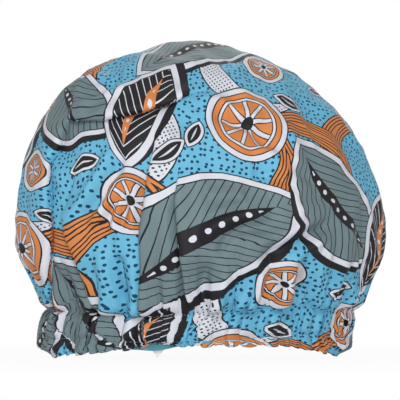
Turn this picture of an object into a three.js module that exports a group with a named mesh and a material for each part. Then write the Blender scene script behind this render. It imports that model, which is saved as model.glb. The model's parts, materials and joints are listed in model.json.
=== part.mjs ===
// A gathered hair bonnet: an outer cap of two printed cloth panels, a satin lining of two panels,
// an elastic band held between them by two rows of stitches, and a care label sewn inside the hem.
// Millimetres, +Z up. The bonnet stands on its hem: the origin is on the table under its middle,
// +X points to the right and -Y to the front.
import * as THREE from "three";

// Crown, measured over the outer cloth
const CROWN_WIDTH = 228;
const CROWN_DEPTH = 192;
const CROWN_RISE = 116; // from the widest level to the top
const CROWN_LEAN = 9; // the top sits this far to the left
const LEAN_CURVE = 1.5; // power by which the lean grows with height
const LOWER_CROWN = 50.8; // from the upper stitches to the widest level

// Hem, measured over the outer cloth in the valleys of its gathers
const NECK_WIDTH = 188;
const NECK_DEPTH = 154;
const HEADING = 2.5; // ruffle below the lower stitches where the hem arches highest
const HEM_ARCH = 8.5; // rise of the hem edge at the front and the back
const ARCH_CURVE = 3; // power by which the arch grows from the ends to the middle
const HEM_SCALLOP = 1.5; // rise of the edge between two gathers
const HEM_FLAT = 0.5; // depth of the flat that the gathers stand on
const GATHERS = 24;
const GATHER_DEPTH = 4;
const LINING_GATHER_DEPTH = 2;
const STITCHED_SHARE = 0.6; // share of a gather's depth that is left where stitches flatten it

// Main folds of the front, which rise out of the gathers: the place of each at the upper stitches and at its
// top, in degrees counter-clockwise from +X, the height of its top above the stitches, its depth and half width
const FOLDS = [
  { foot: 209, head: 207, height: 82, depth: 4, halfWidth: 13 },
  { foot: 240, head: 233, height: 92, depth: 5, halfWidth: 17 },
  { foot: 255, head: 260, height: 116, depth: 5, halfWidth: 15 },
  { foot: 267, head: 268, height: 90, depth: 3.5, halfWidth: 11 },
  { foot: 286, head: 283, height: 46, depth: 3, halfWidth: 10 },
  { foot: 312, head: 305, height: 56, depth: 3, halfWidth: 12 },
];

// Cloth, thread and elastic
const OUTER_CLOTH = 0.8;
const LINING_CLOTH = 0.6;
const LAYER_GAP = 1.5; // between outer cloth and lining in the crown
const LINING_RISE = 1; // the lining's edge stays this far above the outer edge
const THREAD = 0.6;
const SEAM_TUCK = 0.3; // share of the heading that a seam's thread stays above the hem edge
const SEAT_GAP = 0.3; // clearance between pieces that lie on each other
const ELASTIC_WIDTH = 12.7;
const ELASTIC_THICKNESS = 1;
const ELASTIC_OVERLAP = 14; // length over which the two ends are sewn together
const STITCH_MARGIN = 2; // from a row of stitches to the elastic's edge
const ZIGZAG_LENGTH = 10;
const ZIGZAG_HEIGHT = 8;
const ZIGZAG_TURNS = 3;
const STEPS_PER_ZIGZAG = 10;

// Care label
const LABEL_WIDTH = 11;
const LABEL_LENGTH = 9.6;
const LABEL_POINT = 6.5; // length of the pointed end
const LABEL_THICKNESS = 0.7;
const LABEL_ANGLE = 253; // where it hangs, in degrees counter-clockwise from +X
const TACK_OVERHANG = 1.5; // the tacking thread reaches this far past the label's sides

// Faceting
const STEPS_PER_GATHER = 4;
const LOWER_CROWN_STEPS = 2;
const UPPER_CROWN_STEPS = 5;
const SEAM_STEPS = 36;
const THREAD_SIDES = 4;

// Derived places
const HALF_TURN_STEPS = Math.round((GATHERS * STEPS_PER_GATHER) / 2);
const GATHER_PHASE = Math.PI / STEPS_PER_GATHER;
const STITCH_GAP = THREAD + 2 * SEAT_GAP; // outer cloth to lining where they are stitched together
const SEAM_GAP = THREAD + 2 * SEAT_GAP; // between two panels, with the seam's thread in it
const ELASTIC_GAP = 2 * ELASTIC_THICKNESS + THREAD + 4 * SEAT_GAP; // outer cloth to lining around the elastic
const LOWER_STITCH_Z = HEM_ARCH + HEM_SCALLOP + HEADING;
const ELASTIC_BOTTOM = LOWER_STITCH_Z + STITCH_MARGIN;
const ELASTIC_TOP = ELASTIC_BOTTOM + ELASTIC_WIDTH;
const UPPER_STITCH_Z = ELASTIC_TOP + STITCH_MARGIN;
const WIDEST_Z = UPPER_STITCH_Z + LOWER_CROWN;

// Half axes of the outer cloth's inner face, which every layer is offset from
const NECK_A = NECK_WIDTH / 2 - OUTER_CLOTH;
const NECK_B = NECK_DEPTH / 2 - OUTER_CLOTH;
const CROWN_A = CROWN_WIDTH / 2 - OUTER_CLOTH;
const CROWN_B = CROWN_DEPTH / 2 - OUTER_CLOTH;
const CROWN_C = CROWN_RISE - OUTER_CLOTH;

const PRINT = new THREE.MeshStandardMaterial({ color: 0x5aaed2, roughness: 0.55, metalness: 0 });
const SATIN = new THREE.MeshStandardMaterial({ color: 0x469ba8, roughness: 0.35, metalness: 0 });
const WHITE_RIBBON = new THREE.MeshStandardMaterial({ color: 0xe6e7ee, roughness: 0.5, metalness: 0 });
const DARK_THREAD = new THREE.MeshStandardMaterial({ color: 0x2f6f8f, roughness: 0.7, metalness: 0 });
const RUBBER_WEB = new THREE.MeshStandardMaterial({ color: 0xf0efe9, roughness: 0.8, metalness: 0 });

// 1 along the ridge of a gather, 0 along its valley
function ridge(angle) {
  const wave = Math.cos(GATHERS * angle + GATHER_PHASE);
  return THREE.MathUtils.clamp(0.5 + wave / (2 * Math.cos(GATHER_PHASE)), 0, 1);
}

// Height of the hem's arch, lowest at the two ends of its long axis
function arch(angle) {
  return HEM_ARCH * Math.abs(Math.sin(angle)) ** ARCH_CURVE;
}

// Height of the cut edge of the hem
function edgeHeight(angle) {
  return Math.max(0, arch(angle) + HEM_SCALLOP * (1 - ridge(angle)) - HEM_FLAT);
}

// How far the main folds stand out of the outer cloth at an angle and a height
function mainFold(angle, z) {
  let out = 0;
  for (const fold of FOLDS) {
    const share = THREE.MathUtils.clamp((z - UPPER_STITCH_Z) / fold.height, 0, 1);
    const place = THREE.MathUtils.degToRad(THREE.MathUtils.lerp(fold.foot, fold.head, share));
    const away = Math.min(1, (Math.abs(angle - place) * CROWN_A) / fold.halfWidth);
    const crest = fold.depth * Math.sin(Math.PI * Math.sqrt(share));
    out = Math.max(out, crest * Math.cos((away * Math.PI) / 2) ** 2);
  }
  return out;
}

// The rows of the cloth run from the hem edge to the top of the crown. Each gives its half axes and height
// for an offset from the outer cloth's inner face, the share of the gathers there, and the lining's distance.
function bandRow(z, gather, gap) {
  const at = (offset) => ({ a: NECK_A + offset, b: NECK_B + offset, z, lean: 0 });
  return { gather, gap, edge: false, at };
}

function lowerCrownRow(share) {
  const swell = Math.sin((share * Math.PI) / 2);
  const a = THREE.MathUtils.lerp(NECK_A, CROWN_A, swell);
  const b = THREE.MathUtils.lerp(NECK_B, CROWN_B, swell);
  const z = UPPER_STITCH_Z + share * LOWER_CROWN;
  const gather = Math.cos((share * Math.PI) / 2) ** 2;
  const at = (offset) => ({ a: a + offset, b: b + offset, z, lean: 0 });
  return { gather, gap: LAYER_GAP, edge: false, at };
}

function upperCrownRow(share) {
  const across = share < 1 ? Math.cos((share * Math.PI) / 2) : 0;
  const up = Math.sin((share * Math.PI) / 2);
  const at = (offset) => ({
    a: (CROWN_A + offset) * across,
    b: (CROWN_B + offset) * across,
    z: WIDEST_Z + (CROWN_C + offset) * up,
    lean: -CROWN_LEAN * up ** LEAN_CURVE,
  });
  return { gather: 0, gap: LAYER_GAP, edge: false, at };
}

const EDGE_ROW = { ...bandRow(0, 1, STITCH_GAP), edge: true };
const ROWS = [
  EDGE_ROW,
  bandRow(LOWER_STITCH_Z, STITCHED_SHARE, STITCH_GAP),
  bandRow(ELASTIC_BOTTOM - SEAT_GAP, 1, ELASTIC_GAP),
  bandRow(ELASTIC_TOP + SEAT_GAP, 1, ELASTIC_GAP),
  bandRow(UPPER_STITCH_Z, STITCHED_SHARE, STITCH_GAP),
];
for (let i = 1; i <= LOWER_CROWN_STEPS; i++) ROWS.push(lowerCrownRow(i / LOWER_CROWN_STEPS));
for (let i = 1; i <= UPPER_CROWN_STEPS; i++) ROWS.push(upperCrownRow(i / UPPER_CROWN_STEPS));

// A point of a cloth layer that stands out by its folds. Its hem edge stays above the outer one by rise.
function layerPoint(row, angle, offset, fold, rise) {
  const { a, b, z, lean } = row.at(offset);
  const height = row.edge ? edgeHeight(angle) + rise : z;
  return new THREE.Vector3(lean + (a + fold) * Math.cos(angle), (b + fold) * Math.sin(angle), height);
}

function outerPoint(row, angle, offset) {
  const fold = GATHER_DEPTH * row.gather * ridge(angle) + mainFold(angle, row.at(0).z);
  return layerPoint(row, angle, offset, fold, 0);
}

function liningPoint(row, angle, offset) {
  return layerPoint(row, angle, offset, -LINING_GATHER_DEPTH * row.gather * ridge(angle), LINING_RISE);
}

// The four faces that matter: both sides of the outer cloth and of the lining
const outerFace = (row, angle) => outerPoint(row, angle, OUTER_CLOTH);
const outerBack = (row, angle) => outerPoint(row, angle, 0);
const liningFace = (row, angle) => liningPoint(row, angle, -row.gap);
const liningBack = (row, angle) => liningPoint(row, angle, -row.gap - LINING_CLOTH);

function meshOf(name, geometry, material) {
  const mesh = new THREE.Mesh(geometry, material.clone());
  mesh.name = name;
  return mesh;
}

// Half of a cap, from the hem edge to the top: a closed sheet between its two faces. It covers the half turn
// that starts at the given angle and stops short of the seam plane by half the seam's gap.
function capPanel(name, startAngle, face, back, material) {
  const points = [];
  const index = [];
  const side = Math.sign(Math.sin(startAngle + Math.PI / 2));
  const top = ROWS.length - 1;

  function skin(pointAt) {
    return ROWS.map((row, j) => {
      const line = [];
      for (let i = 0; i <= HALF_TURN_STEPS; i++) {
        if (j === top && i > 0) {
          line.push(line[0]);
          continue;
        }
        const p = pointAt(row, startAngle + (Math.PI * i) / HALF_TURN_STEPS);
        points.push(p.x, side * Math.max(side * p.y, SEAM_GAP / 2), p.z);
        line.push(points.length / 3 - 1);
      }
      return line;
    });
  }

  function quad(p, q, r, s) {
    if (p !== q && q !== r && p !== r) index.push(p, q, r);
    if (p !== r && r !== s && p !== s) index.push(p, r, s);
  }

  const outside = skin(face);
  const inside = skin(back);
  for (let i = 0; i < HALF_TURN_STEPS; i++) {
    for (let j = 0; j < top; j++) {
      quad(outside[j][i], outside[j][i + 1], outside[j + 1][i + 1], outside[j + 1][i]);
      quad(inside[j][i], inside[j + 1][i], inside[j + 1][i + 1], inside[j][i + 1]);
    }
    quad(outside[0][i], inside[0][i], inside[0][i + 1], outside[0][i + 1]);
  }
  const last = HALF_TURN_STEPS;
  for (let j = 0; j < top; j++) {
    quad(outside[j][0], outside[j + 1][0], inside[j + 1][0], inside[j][0]);
    quad(outside[j][last], inside[j][last], inside[j + 1][last], outside[j + 1][last]);
  }
  const geometry = new THREE.BufferGeometry();
  geometry.setAttribute("position", new THREE.Float32BufferAttribute(points, 3));
  geometry.setIndex(index);
  return meshOf(name, geometry, material);
}

function roundSection(diameter) {
  const section = new THREE.Shape();
  for (let i = 0; i < THREAD_SIDES; i++) {
    const turn = (2 * Math.PI * i) / THREAD_SIDES;
    const [x, y] = [(Math.cos(turn) * diameter) / 2, (Math.sin(turn) * diameter) / 2];
    if (i === 0) section.moveTo(x, y);
    else section.lineTo(x, y);
  }
  return section;
}

function threadAlong(name, curve, steps) {
  const geometry = new THREE.ExtrudeGeometry(roundSection(THREAD), { steps, extrudePath: curve });
  return meshOf(name, geometry, DARK_THREAD);
}

// The seam of a cap runs from one end of the hem over the top to the other, midway in its cloth
function seamThread(name, face, back) {
  const middle = (row, angle) => face(row, angle).lerp(back(row, angle), 0.5).setY(0);
  const right = ROWS.map((row) => middle(row, 0));
  const left = ROWS.slice(0, -1).map((row) => middle(row, Math.PI));
  const start = right[0].clone().lerp(right[1], SEAM_TUCK);
  const end = left[0].clone().lerp(left[1], SEAM_TUCK);
  const route = [start, ...right.slice(1), ...left.slice(1).reverse(), end];
  return threadAlong(name, new THREE.CatmullRomCurve3(route), SEAM_STEPS);
}

// A row of stitches round the hem, between the outer cloth and the lining
class HemRing extends THREE.Curve {
  constructor(heightAt) {
    super();
    this.heightAt = heightAt;
  }
  getPoint(t, target = new THREE.Vector3()) {
    const angle = 2 * Math.PI * t;
    const offset = -STITCH_GAP / 2;
    const [x, y] = [(NECK_A + offset) * Math.cos(angle), (NECK_B + offset) * Math.sin(angle)];
    return target.set(x, y, this.heightAt(angle));
  }
}

function stitchRow(name, heightAt) {
  const geometry = new THREE.TubeGeometry(
    new HemRing(heightAt), 2 * HALF_TURN_STEPS, THREAD / 2, THREAD_SIDES, true,
  );
  return meshOf(name, geometry, DARK_THREAD);
}

// The elastic is one strip whose ends lap each other at the middle of the back
function elasticBand() {
  const start = Math.PI / 2;
  const lap = ELASTIC_OVERLAP / NECK_A;
  const sweep = 2 * Math.PI + lap;
  const steps = Math.ceil((sweep / Math.PI) * HALF_TURN_STEPS);
  const innerLayer = -(2 * SEAT_GAP + 2 * ELASTIC_THICKNESS);
  const climb = (ELASTIC_THICKNESS + SEAT_GAP) / (2 * Math.PI);
  const points = [];
  const index = [];
  for (let i = 0; i <= steps; i++) {
    const turned = (sweep * i) / steps;
    const angle = start - lap / 2 + turned;
    const low = innerLayer + climb * Math.min(turned, 2 * Math.PI);
    const corners = [
      [low, ELASTIC_BOTTOM],
      [low + ELASTIC_THICKNESS, ELASTIC_BOTTOM],
      [low + ELASTIC_THICKNESS, ELASTIC_TOP],
      [low, ELASTIC_TOP],
    ];
    for (const [offset, z] of corners)
      points.push((NECK_A + offset) * Math.cos(angle), (NECK_B + offset) * Math.sin(angle), z);
  }
  const corner = (step, k) => 4 * step + (k % 4);
  for (let i = 0; i < steps; i++)
    for (let k = 0; k < 4; k++) {
      index.push(corner(i, k), corner(i + 1, k + 1), corner(i, k + 1));
      index.push(corner(i, k), corner(i + 1, k), corner(i + 1, k + 1));
    }
  index.push(0, 1, 2, 0, 2, 3);
  const tail = corner(steps, 0);
  index.push(tail, tail + 2, tail + 1, tail, tail + 3, tail + 2);
  const geometry = new THREE.BufferGeometry();
  geometry.setAttribute("position", new THREE.Float32BufferAttribute(points, 3));
  geometry.setIndex(index);
  return meshOf("elastic_band", geometry, RUBBER_WEB);
}

// Zigzag stitches that close the elastic's lap, on its inner face
class Zigzag extends THREE.Curve {
  getPoint(t, target = new THREE.Vector3()) {
    const angle = Math.PI / 2 + ((t - 0.5) * ZIGZAG_LENGTH) / NECK_A;
    const offset = -(3 * SEAT_GAP + 2 * ELASTIC_THICKNESS + THREAD / 2);
    const middle = (ELASTIC_BOTTOM + ELASTIC_TOP) / 2;
    const z = middle + (ZIGZAG_HEIGHT / 2) * Math.sin(2 * Math.PI * ZIGZAG_TURNS * t);
    return target.set((NECK_A + offset) * Math.cos(angle), (NECK_B + offset) * Math.sin(angle), z);
  }
}

// The label hangs inside the hem from a short line of tacking thread, on the lining gather nearest its angle
function careLabel() {
  const turn = (2 * Math.PI) / GATHERS;
  const wanted = THREE.MathUtils.degToRad(LABEL_ANGLE);
  const angle = Math.round((wanted + GATHER_PHASE / GATHERS) / turn) * turn - GATHER_PHASE / GATHERS;
  const inset = STITCH_GAP + LINING_CLOTH + LINING_GATHER_DEPTH + SEAT_GAP + LABEL_WIDTH ** 2 / (8 * NECK_B);
  const group = new THREE.Group();
  group.position.set((NECK_A - inset) * Math.cos(angle), (NECK_B - inset) * Math.sin(angle), 0);
  const outward = Math.atan2(Math.sin(angle) / NECK_B, Math.cos(angle) / NECK_A);
  group.rotation.z = outward + Math.PI / 2; // local -Y points out of the hem

  const tackZ = LOWER_STITCH_Z - THREAD / 2;
  const top = tackZ - THREAD / 2 - SEAT_GAP;
  const half = LABEL_WIDTH / 2;
  const outline = new THREE.Shape();
  outline.moveTo(-half, top);
  outline.lineTo(-half, top - LABEL_LENGTH + LABEL_POINT);
  outline.lineTo(0, top - LABEL_LENGTH);
  outline.lineTo(half, top - LABEL_LENGTH + LABEL_POINT);
  outline.lineTo(half, top);
  const ribbon = new THREE.ExtrudeGeometry(outline, { depth: LABEL_THICKNESS, bevelEnabled: false });
  ribbon.rotateX(Math.PI / 2).translate(0, LABEL_THICKNESS, 0);

  const reach = half + TACK_OVERHANG;
  const tackStart = new THREE.Vector3(-reach, THREAD / 2, tackZ);
  const tackEnd = new THREE.Vector3(reach, THREAD / 2, tackZ);
  group.add(meshOf("care_label", ribbon, WHITE_RIBBON));
  group.add(threadAlong("label_tack_thread", new THREE.LineCurve3(tackStart, tackEnd), 1));
  return group;
}

const bonnet = new THREE.Group();
bonnet.add(capPanel("outer_front_panel", Math.PI, outerFace, outerBack, PRINT));
bonnet.add(capPanel("outer_back_panel", 0, outerFace, outerBack, PRINT));
bonnet.add(seamThread("outer_seam_thread", outerFace, outerBack));
bonnet.add(capPanel("lining_front_panel", Math.PI, liningFace, liningBack, SATIN));
bonnet.add(capPanel("lining_back_panel", 0, liningFace, liningBack, SATIN));
bonnet.add(seamThread("lining_seam_thread", liningFace, liningBack));
bonnet.add(stitchRow("upper_casing_stitch", () => UPPER_STITCH_Z));
bonnet.add(stitchRow("lower_casing_stitch", () => LOWER_STITCH_Z));
bonnet.add(stitchRow("hem_edge_stitch", (angle) => arch(angle) + HEM_SCALLOP + LINING_RISE));
bonnet.add(elasticBand());
bonnet.add(threadAlong("elastic_join_stitch", new Zigzag(), STEPS_PER_ZIGZAG * ZIGZAG_TURNS));
bonnet.add(careLabel());

export default bonnet;
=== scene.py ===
import json
import math
from typing import NamedTuple

import bpy
import numpy as np
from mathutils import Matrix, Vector, noise


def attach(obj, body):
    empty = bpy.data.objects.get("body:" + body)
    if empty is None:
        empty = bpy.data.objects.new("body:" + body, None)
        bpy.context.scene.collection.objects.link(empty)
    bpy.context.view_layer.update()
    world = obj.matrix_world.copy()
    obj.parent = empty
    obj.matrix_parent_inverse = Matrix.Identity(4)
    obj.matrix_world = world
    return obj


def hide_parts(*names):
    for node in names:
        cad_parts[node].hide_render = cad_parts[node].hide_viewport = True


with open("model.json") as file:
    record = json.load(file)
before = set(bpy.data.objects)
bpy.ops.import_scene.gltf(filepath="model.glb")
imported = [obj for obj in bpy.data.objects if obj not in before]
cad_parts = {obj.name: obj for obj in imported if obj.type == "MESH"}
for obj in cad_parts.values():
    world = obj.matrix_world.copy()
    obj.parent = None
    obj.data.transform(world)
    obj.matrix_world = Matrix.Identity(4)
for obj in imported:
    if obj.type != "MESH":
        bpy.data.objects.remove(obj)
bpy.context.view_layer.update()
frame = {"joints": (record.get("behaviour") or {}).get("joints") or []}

# Sizes repeated from the part's source, in millimetres
MM = 0.001
CROWN_HALF_WIDTH = 114.0
CROWN_HALF_DEPTH = 96.0
CROWN_RISE = 116.0
WIDEST_Z = 80.0
UPPER_STITCH_Z = 29.2
LOWER_STITCH_Z = 12.5
NECK_HALF_WIDTH = 94.0
NECK_HALF_DEPTH = 77.0
HEM_ARCH = 8.5
ARCH_CURVE = 3.0
ELASTIC_BOTTOM = 14.5
ELASTIC_TOP = 27.2
ELASTIC_LAP = 14.0
LABEL_WIDTH = 11.0
LABEL_LENGTH = 9.6
LABEL_POINT = 6.5
LABEL_THICKNESS = 0.7

# How far the cap leans to the right at each height
LEAN = [
    (0, -3.4), (14, -3.2), (24, -1.4), (34, 1.4), (60, 0.9), (90, 0.1),
    (128, -3.1), (161, -6.0), (182, -7.4), (191, -5.2), (196, -4.8),
]
# The very top is a little pointed: a ring round it, of this radius and width, lies lower
TOP_RING = 32.0
TOP_RING_WIDTH = 15.0
TOP_RING_DIP = 1.7

# The cut of one panel, laid flat, is a half disc on a rectangle, and covers half a crown of this radius
CUT_RADIUS = 105.0
CUT_HALF_WIDTH = CUT_RADIUS * math.pi / 2
# The back panel is cut from another place of the printed cloth
BACK_CUT_SHIFT = (70.0, 44.0)

# Distance of each layer inside the crown's and the hem's outline, and its thickness
OUTER_INSET_BAND = 0.6
OUTER_INSET_CROWN = 0.0
OUTER_CLOTH = 0.45
LINING_INSET_BAND = 5.2
LINING_INSET_CROWN = 3.6
LINING_CLOTH = 0.35

# Rows of the meshes from hem to upper stitches, to the widest level and to the top
OUTER_COLUMNS = 352
OUTER_ROWS = (26, 30, 80)
# Columns over which a gathered print is squeezed
GATHER_COLUMNS = 54
LINING_COLUMNS = 352
LINING_ROWS = (30, 22, 58)
# The rows lie closer together where the crown hangs over its left shoulder
CLOSE_LATITUDE = math.radians(42)
CLOSE_REACH = math.radians(9)
CLOSE_GAIN = 1.4

SEED = 11
# Stand-ins for no distance and for one beyond any that is measured
TINY = 1e-9
FAR = 1e9


def smooth_step(low, high, value):
    share = np.clip((value - low) / (high - low), 0.0, 1.0)
    return share * share * (3.0 - 2.0 * share)


def bell(value, reach):
    """1 where the value is 0, and less on both sides of it."""
    return np.exp(-((value / reach) ** 2))


def soft_curve(levels, value):
    """Smooth steps through a few (height, level) pairs, flat at each of them."""
    result = np.full(np.shape(value), levels[0][1], dtype=float)
    for (low, start), (high, end) in zip(levels, levels[1:]):
        result = result + (end - start) * smooth_step(low, high, value)
    return result


def smooth_route(points, samples=48):
    """A smooth line through the given points, sampled evenly in its parameter."""
    knots = np.array(points, dtype=float)
    ends = np.vstack([2 * knots[0] - knots[1], knots, 2 * knots[-1] - knots[-2]])
    route = []
    for place in np.linspace(0, len(knots) - 1, samples):
        i = min(int(place), len(knots) - 2)
        t = place - i
        p0, p1, p2, p3 = ends[i : i + 4]
        bend = (2 * p0 - 5 * p1 + 4 * p2 - p3) * t**2 + (3 * p1 - p0 - 3 * p2 + p3) * t**3
        route.append(0.5 * (2 * p1 + (p2 - p0) * t + bend))
    return np.array(route)


class Waves(NamedTuple):
    """Smooth noise over points in millimetres; a stretch below 1 draws its lumps out upwards."""

    height: float
    reach: float
    stretch: float
    shift: float

    def shape(self, x, y, z):
        flat = np.stack([np.ravel(v) for v in (x, y, z * self.stretch)], axis=1) / self.reach + self.shift
        return np.array([noise.noise(p) for p in flat]).reshape(np.shape(x))

    def at(self, x, y, z):
        return self.height * self.shape(x, y, z)


# Form of the cap, row by row from the hem edge to the top

LATITUDE_SAMPLES = 721
# A point seen at the very side counts as this share of the way there
SIDE_LIMIT = 0.999


def crown_latitudes(steps):
    """Latitudes of the rows above the widest level, up to the top."""
    fine = np.linspace(0.0, math.pi / 2, LATITUDE_SAMPLES)
    density = 1.0 + CLOSE_GAIN * bell(fine - CLOSE_LATITUDE, CLOSE_REACH)
    run = np.concatenate([[0.0], np.cumsum((density[1:] + density[:-1]) / 2)])
    return np.interp(np.arange(1, steps + 1) / steps * run[-1], run, fine)


class CapForm:
    """Half axes, height and lean of each row, before any fold."""

    def __init__(self, steps, inset_band, inset_crown):
        band_steps, lower_steps, upper_steps = steps
        band_z = np.linspace(0.0, UPPER_STITCH_Z, band_steps + 1)
        lower = np.arange(1, lower_steps + 1) / lower_steps
        upper = crown_latitudes(upper_steps)
        across = np.cos(upper)
        across[-1] = 0.0

        def half_axis(neck, crown):
            swell = neck + (crown - neck) * np.sin(lower * math.pi / 2)
            return np.concatenate([np.full(band_steps + 1, neck), swell, crown * across])

        self.a = half_axis(NECK_HALF_WIDTH - inset_band, CROWN_HALF_WIDTH - inset_crown)
        self.b = half_axis(NECK_HALF_DEPTH - inset_band, CROWN_HALF_DEPTH - inset_crown)
        lower_z = UPPER_STITCH_Z + lower * (WIDEST_Z - UPPER_STITCH_Z)
        upper_z = WIDEST_Z + (CROWN_RISE - inset_crown) * np.sin(upper)
        upper_z = upper_z - TOP_RING_DIP * bell(self.a[-upper_steps:] - TOP_RING, TOP_RING_WIDTH)
        self.z = np.concatenate([band_z, lower_z, upper_z])
        self.latitude = np.concatenate([np.zeros(band_steps + 1 + lower_steps), upper])
        self.shift = lean_at(self.z)
        mean = (self.a + self.b) / 2
        along = np.concatenate([[0.0], np.cumsum(np.hypot(np.diff(mean), np.diff(self.z)))])
        self.along = along - np.interp(WIDEST_Z, self.z, along)
        self.reach = np.sqrt((self.a**2 + self.b**2) / 2)

    def on_cloth(self, x, z, front):
        """Where points seen from the front or back lie on the cloth: round and up, in millimetres."""
        side = (x - lean_at(z)) / np.interp(z, self.z, self.a)
        turn = np.arcsin(np.clip(side, -SIDE_LIMIT, SIDE_LIMIT))
        if not front:
            turn = -turn
        return turn * np.interp(z, self.z, self.reach), np.interp(z, self.z, self.along)

    def grid(self, angle):
        """Points of the plain form, one row for each height."""
        x = self.shift[:, None] + self.a[:, None] * np.cos(angle)
        y = self.b[:, None] * np.sin(angle)
        z = np.repeat(self.z[:, None], angle.shape[1], axis=1)
        return np.stack([x, y, z], axis=2)


LEAN_ROUTE = smooth_route(LEAN, samples=160)


def lean_at(z):
    return np.interp(z, LEAN_ROUTE[:, 0], LEAN_ROUTE[:, 1])


def panel_angles(front, columns, rows):
    """Angles of a panel's columns, counter-clockwise from +X, the same for every row."""
    start = math.pi if front else 0.0
    return np.linspace(start, start + math.pi, columns + 1)[None, :].repeat(rows, axis=0)


def hem_edge_height(angle):
    return HEM_ARCH * np.abs(np.sin(angle)) ** ARCH_CURVE


# Middle, reach and height of the front hem's ride up on the right and of its sag on the left
HEM_SWAYS = ((58.0, 28.0, 3.2), (-28.0, 22.0, -1.6))
# They start behind the seam and are whole this far forward of it
SWAY_START_Y = 10.0
SWAY_WHOLE_Y = -40.0


def band_lift(x, y):
    """How far the hem lies above or below its level."""
    lift = sum(height * bell(x - middle, reach) for middle, reach, height in HEM_SWAYS)
    return lift * smooth_step(SWAY_START_Y, SWAY_WHOLE_Y, y)


def lift_band(points):
    """Moves the hem and its gathers up or down; the crown stays."""
    x, y, z = points[..., 0], points[..., 1], points[..., 2]
    points[..., 2] = z + band_lift(x, y) * (1.0 - smooth_step(UPPER_STITCH_Z, WIDEST_Z, z))


# Gathers: irregular puckers that the elastic makes

# The puckers lie closer together round this angle
CROWDED_ANGLE = math.radians(258)
CROWDED_REACH = 0.3
# Least and greatest strength of a ridge, and of the share of it that its width gives
RIDGE_STRENGTH = (0.7, 1.15)
RIDGE_WIDTH_SHARE = (0.55, 1.5)
# How square a ridge is across
RIDGE_SQUARE = 2.2


class Puckers:
    """Rounded ridges with pinched valleys between them, of uneven width, right round the hem."""

    def __init__(self, count, seed, spread, crowded=0.0):
        chance = np.random.default_rng(seed)
        widths = chance.uniform(1.0 - spread, 1.0 + spread, count)
        middles = np.linspace(0.0, 2 * math.pi, count, endpoint=False)
        widths *= 1.0 - crowded * bell(middles - CROWDED_ANGLE, CROWDED_REACH)
        edges = np.concatenate([[0.0], np.cumsum(widths)])
        self.edges = edges / edges[-1] * 2 * math.pi
        self.strength = chance.uniform(*RIDGE_STRENGTH, count) * np.clip(widths, *RIDGE_WIDTH_SHARE)
        self.fade = chance.uniform(0.0, 1.0, count)
        self.lean = chance.uniform(-1.0, 1.0, count) * np.diff(self.edges)

    def ridge(self, angle):
        """Which ridge lies at each angle, and the share of the way across it."""
        turned = np.mod(angle, 2 * math.pi)
        index = np.searchsorted(self.edges, turned, side="right") - 1
        index = np.clip(index, 0, len(self.strength) - 1)
        low = self.edges[index]
        return index, (turned - low) / (self.edges[index + 1] - low)

    def at(self, angle, roundness):
        """Share of the ridge's height at each angle, and the strength and fade of that ridge."""
        index, share = self.ridge(angle)
        hump = (1.0 - np.abs(2.0 * share - 1.0) ** RIDGE_SQUARE) ** roundness
        return hump, self.strength[index], self.fade[index]

    def leaning(self, angle):
        """How far each ridge's crest leans over its neighbour, as an angle."""
        index, share = self.ridge(angle)
        return self.lean[index] * np.sin(share * math.pi)


HEM_PUCKERS = Puckers(count=84, seed=SEED, spread=0.7, crowded=0.45)
CROWN_GATHERS = Puckers(count=40, seed=SEED + 1, spread=0.6)
# Share of a ridge's width by which its crest may lean over
PUCKER_LEAN = 0.62
# Depth of the fine puckers and of the wide gathers, and how round their ridges are
PUCKER_DEPTH = 4.4
PUCKER_ROUND = 0.6
GATHER_DEPTH = 5.0
GATHER_ROUND = 0.8
# Share of a pucker's depth at each height; the stitches flatten it
PUCKER_LEVELS = [
    (0, 0.75), (6, 0.95), (LOWER_STITCH_Z, 0.6), (16, 1.0), (25, 1.0), (UPPER_STITCH_Z, 0.4), (33, 0.9),
]
GATHER_LEVELS = [(0, 0.5), (LOWER_STITCH_Z, 0.2), (20, 0.3), (UPPER_STITCH_Z, 0.25), (37, 1.0)]
# How far the cloth as a whole swells or is drawn in at each height
SWELL_LEVELS = [
    (0, -1.4), (LOWER_STITCH_Z, -1.2), (16, -0.9), (25, -0.9),
    (UPPER_STITCH_Z, -1.6), (34, -4.4), (44, -3.8), (66, 0.0),
]
# Share of that at the middle of the front and back; it is whole at the two ends
FRONT_SWELL = 0.45
# Above this height the ridges die out, over a least run and a share of a further one
GATHER_FOOT = 35.0
PUCKER_RUN = (5.0, 14.0)
GATHER_RUN = (16.0, 34.0)
GATHER_DROP = 1.5
# The gathers wander less than the puckers, by this share
GATHER_WANDERS = 0.4
# How far the cloth stands out at the two ends of the hem, where it curls in below
END_LEVELS = [(0, 2.0), (4, 3.8), (8, 4.5), (20, 4.3), (UPPER_STITCH_Z, 3.4)]
END_REACH = 9.0
END_FADE = 4.0
END_TUCK = 9.0
END_TUCK_HEIGHT = 6.5
END_TUCK_POWER = 8


def gather_depth(angle, z, wander):
    """Outward displacement of the gathered cloth, in millimetres."""
    above = np.maximum(z - GATHER_FOOT, 0.0)
    hump, strength, fade = HEM_PUCKERS.at(angle + wander, PUCKER_ROUND)
    drop = np.exp(-above / (PUCKER_RUN[0] + PUCKER_RUN[1] * fade))
    fine = PUCKER_DEPTH * soft_curve(PUCKER_LEVELS, z) * drop * strength * hump
    hump, strength, fade = CROWN_GATHERS.at(angle + GATHER_WANDERS * wander, GATHER_ROUND)
    drop = np.exp(-((above / (GATHER_RUN[0] + GATHER_RUN[1] * fade)) ** GATHER_DROP))
    wide = GATHER_DEPTH * soft_curve(GATHER_LEVELS, z) * drop * strength * hump
    ends = FRONT_SWELL + (1.0 - FRONT_SWELL) * np.cos(angle) ** 2
    return fine + wide + ends * soft_curve(SWELL_LEVELS, z)


# Folds of the crown, placed as they are seen from the front: x to the right and z up, in millimetres


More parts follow.
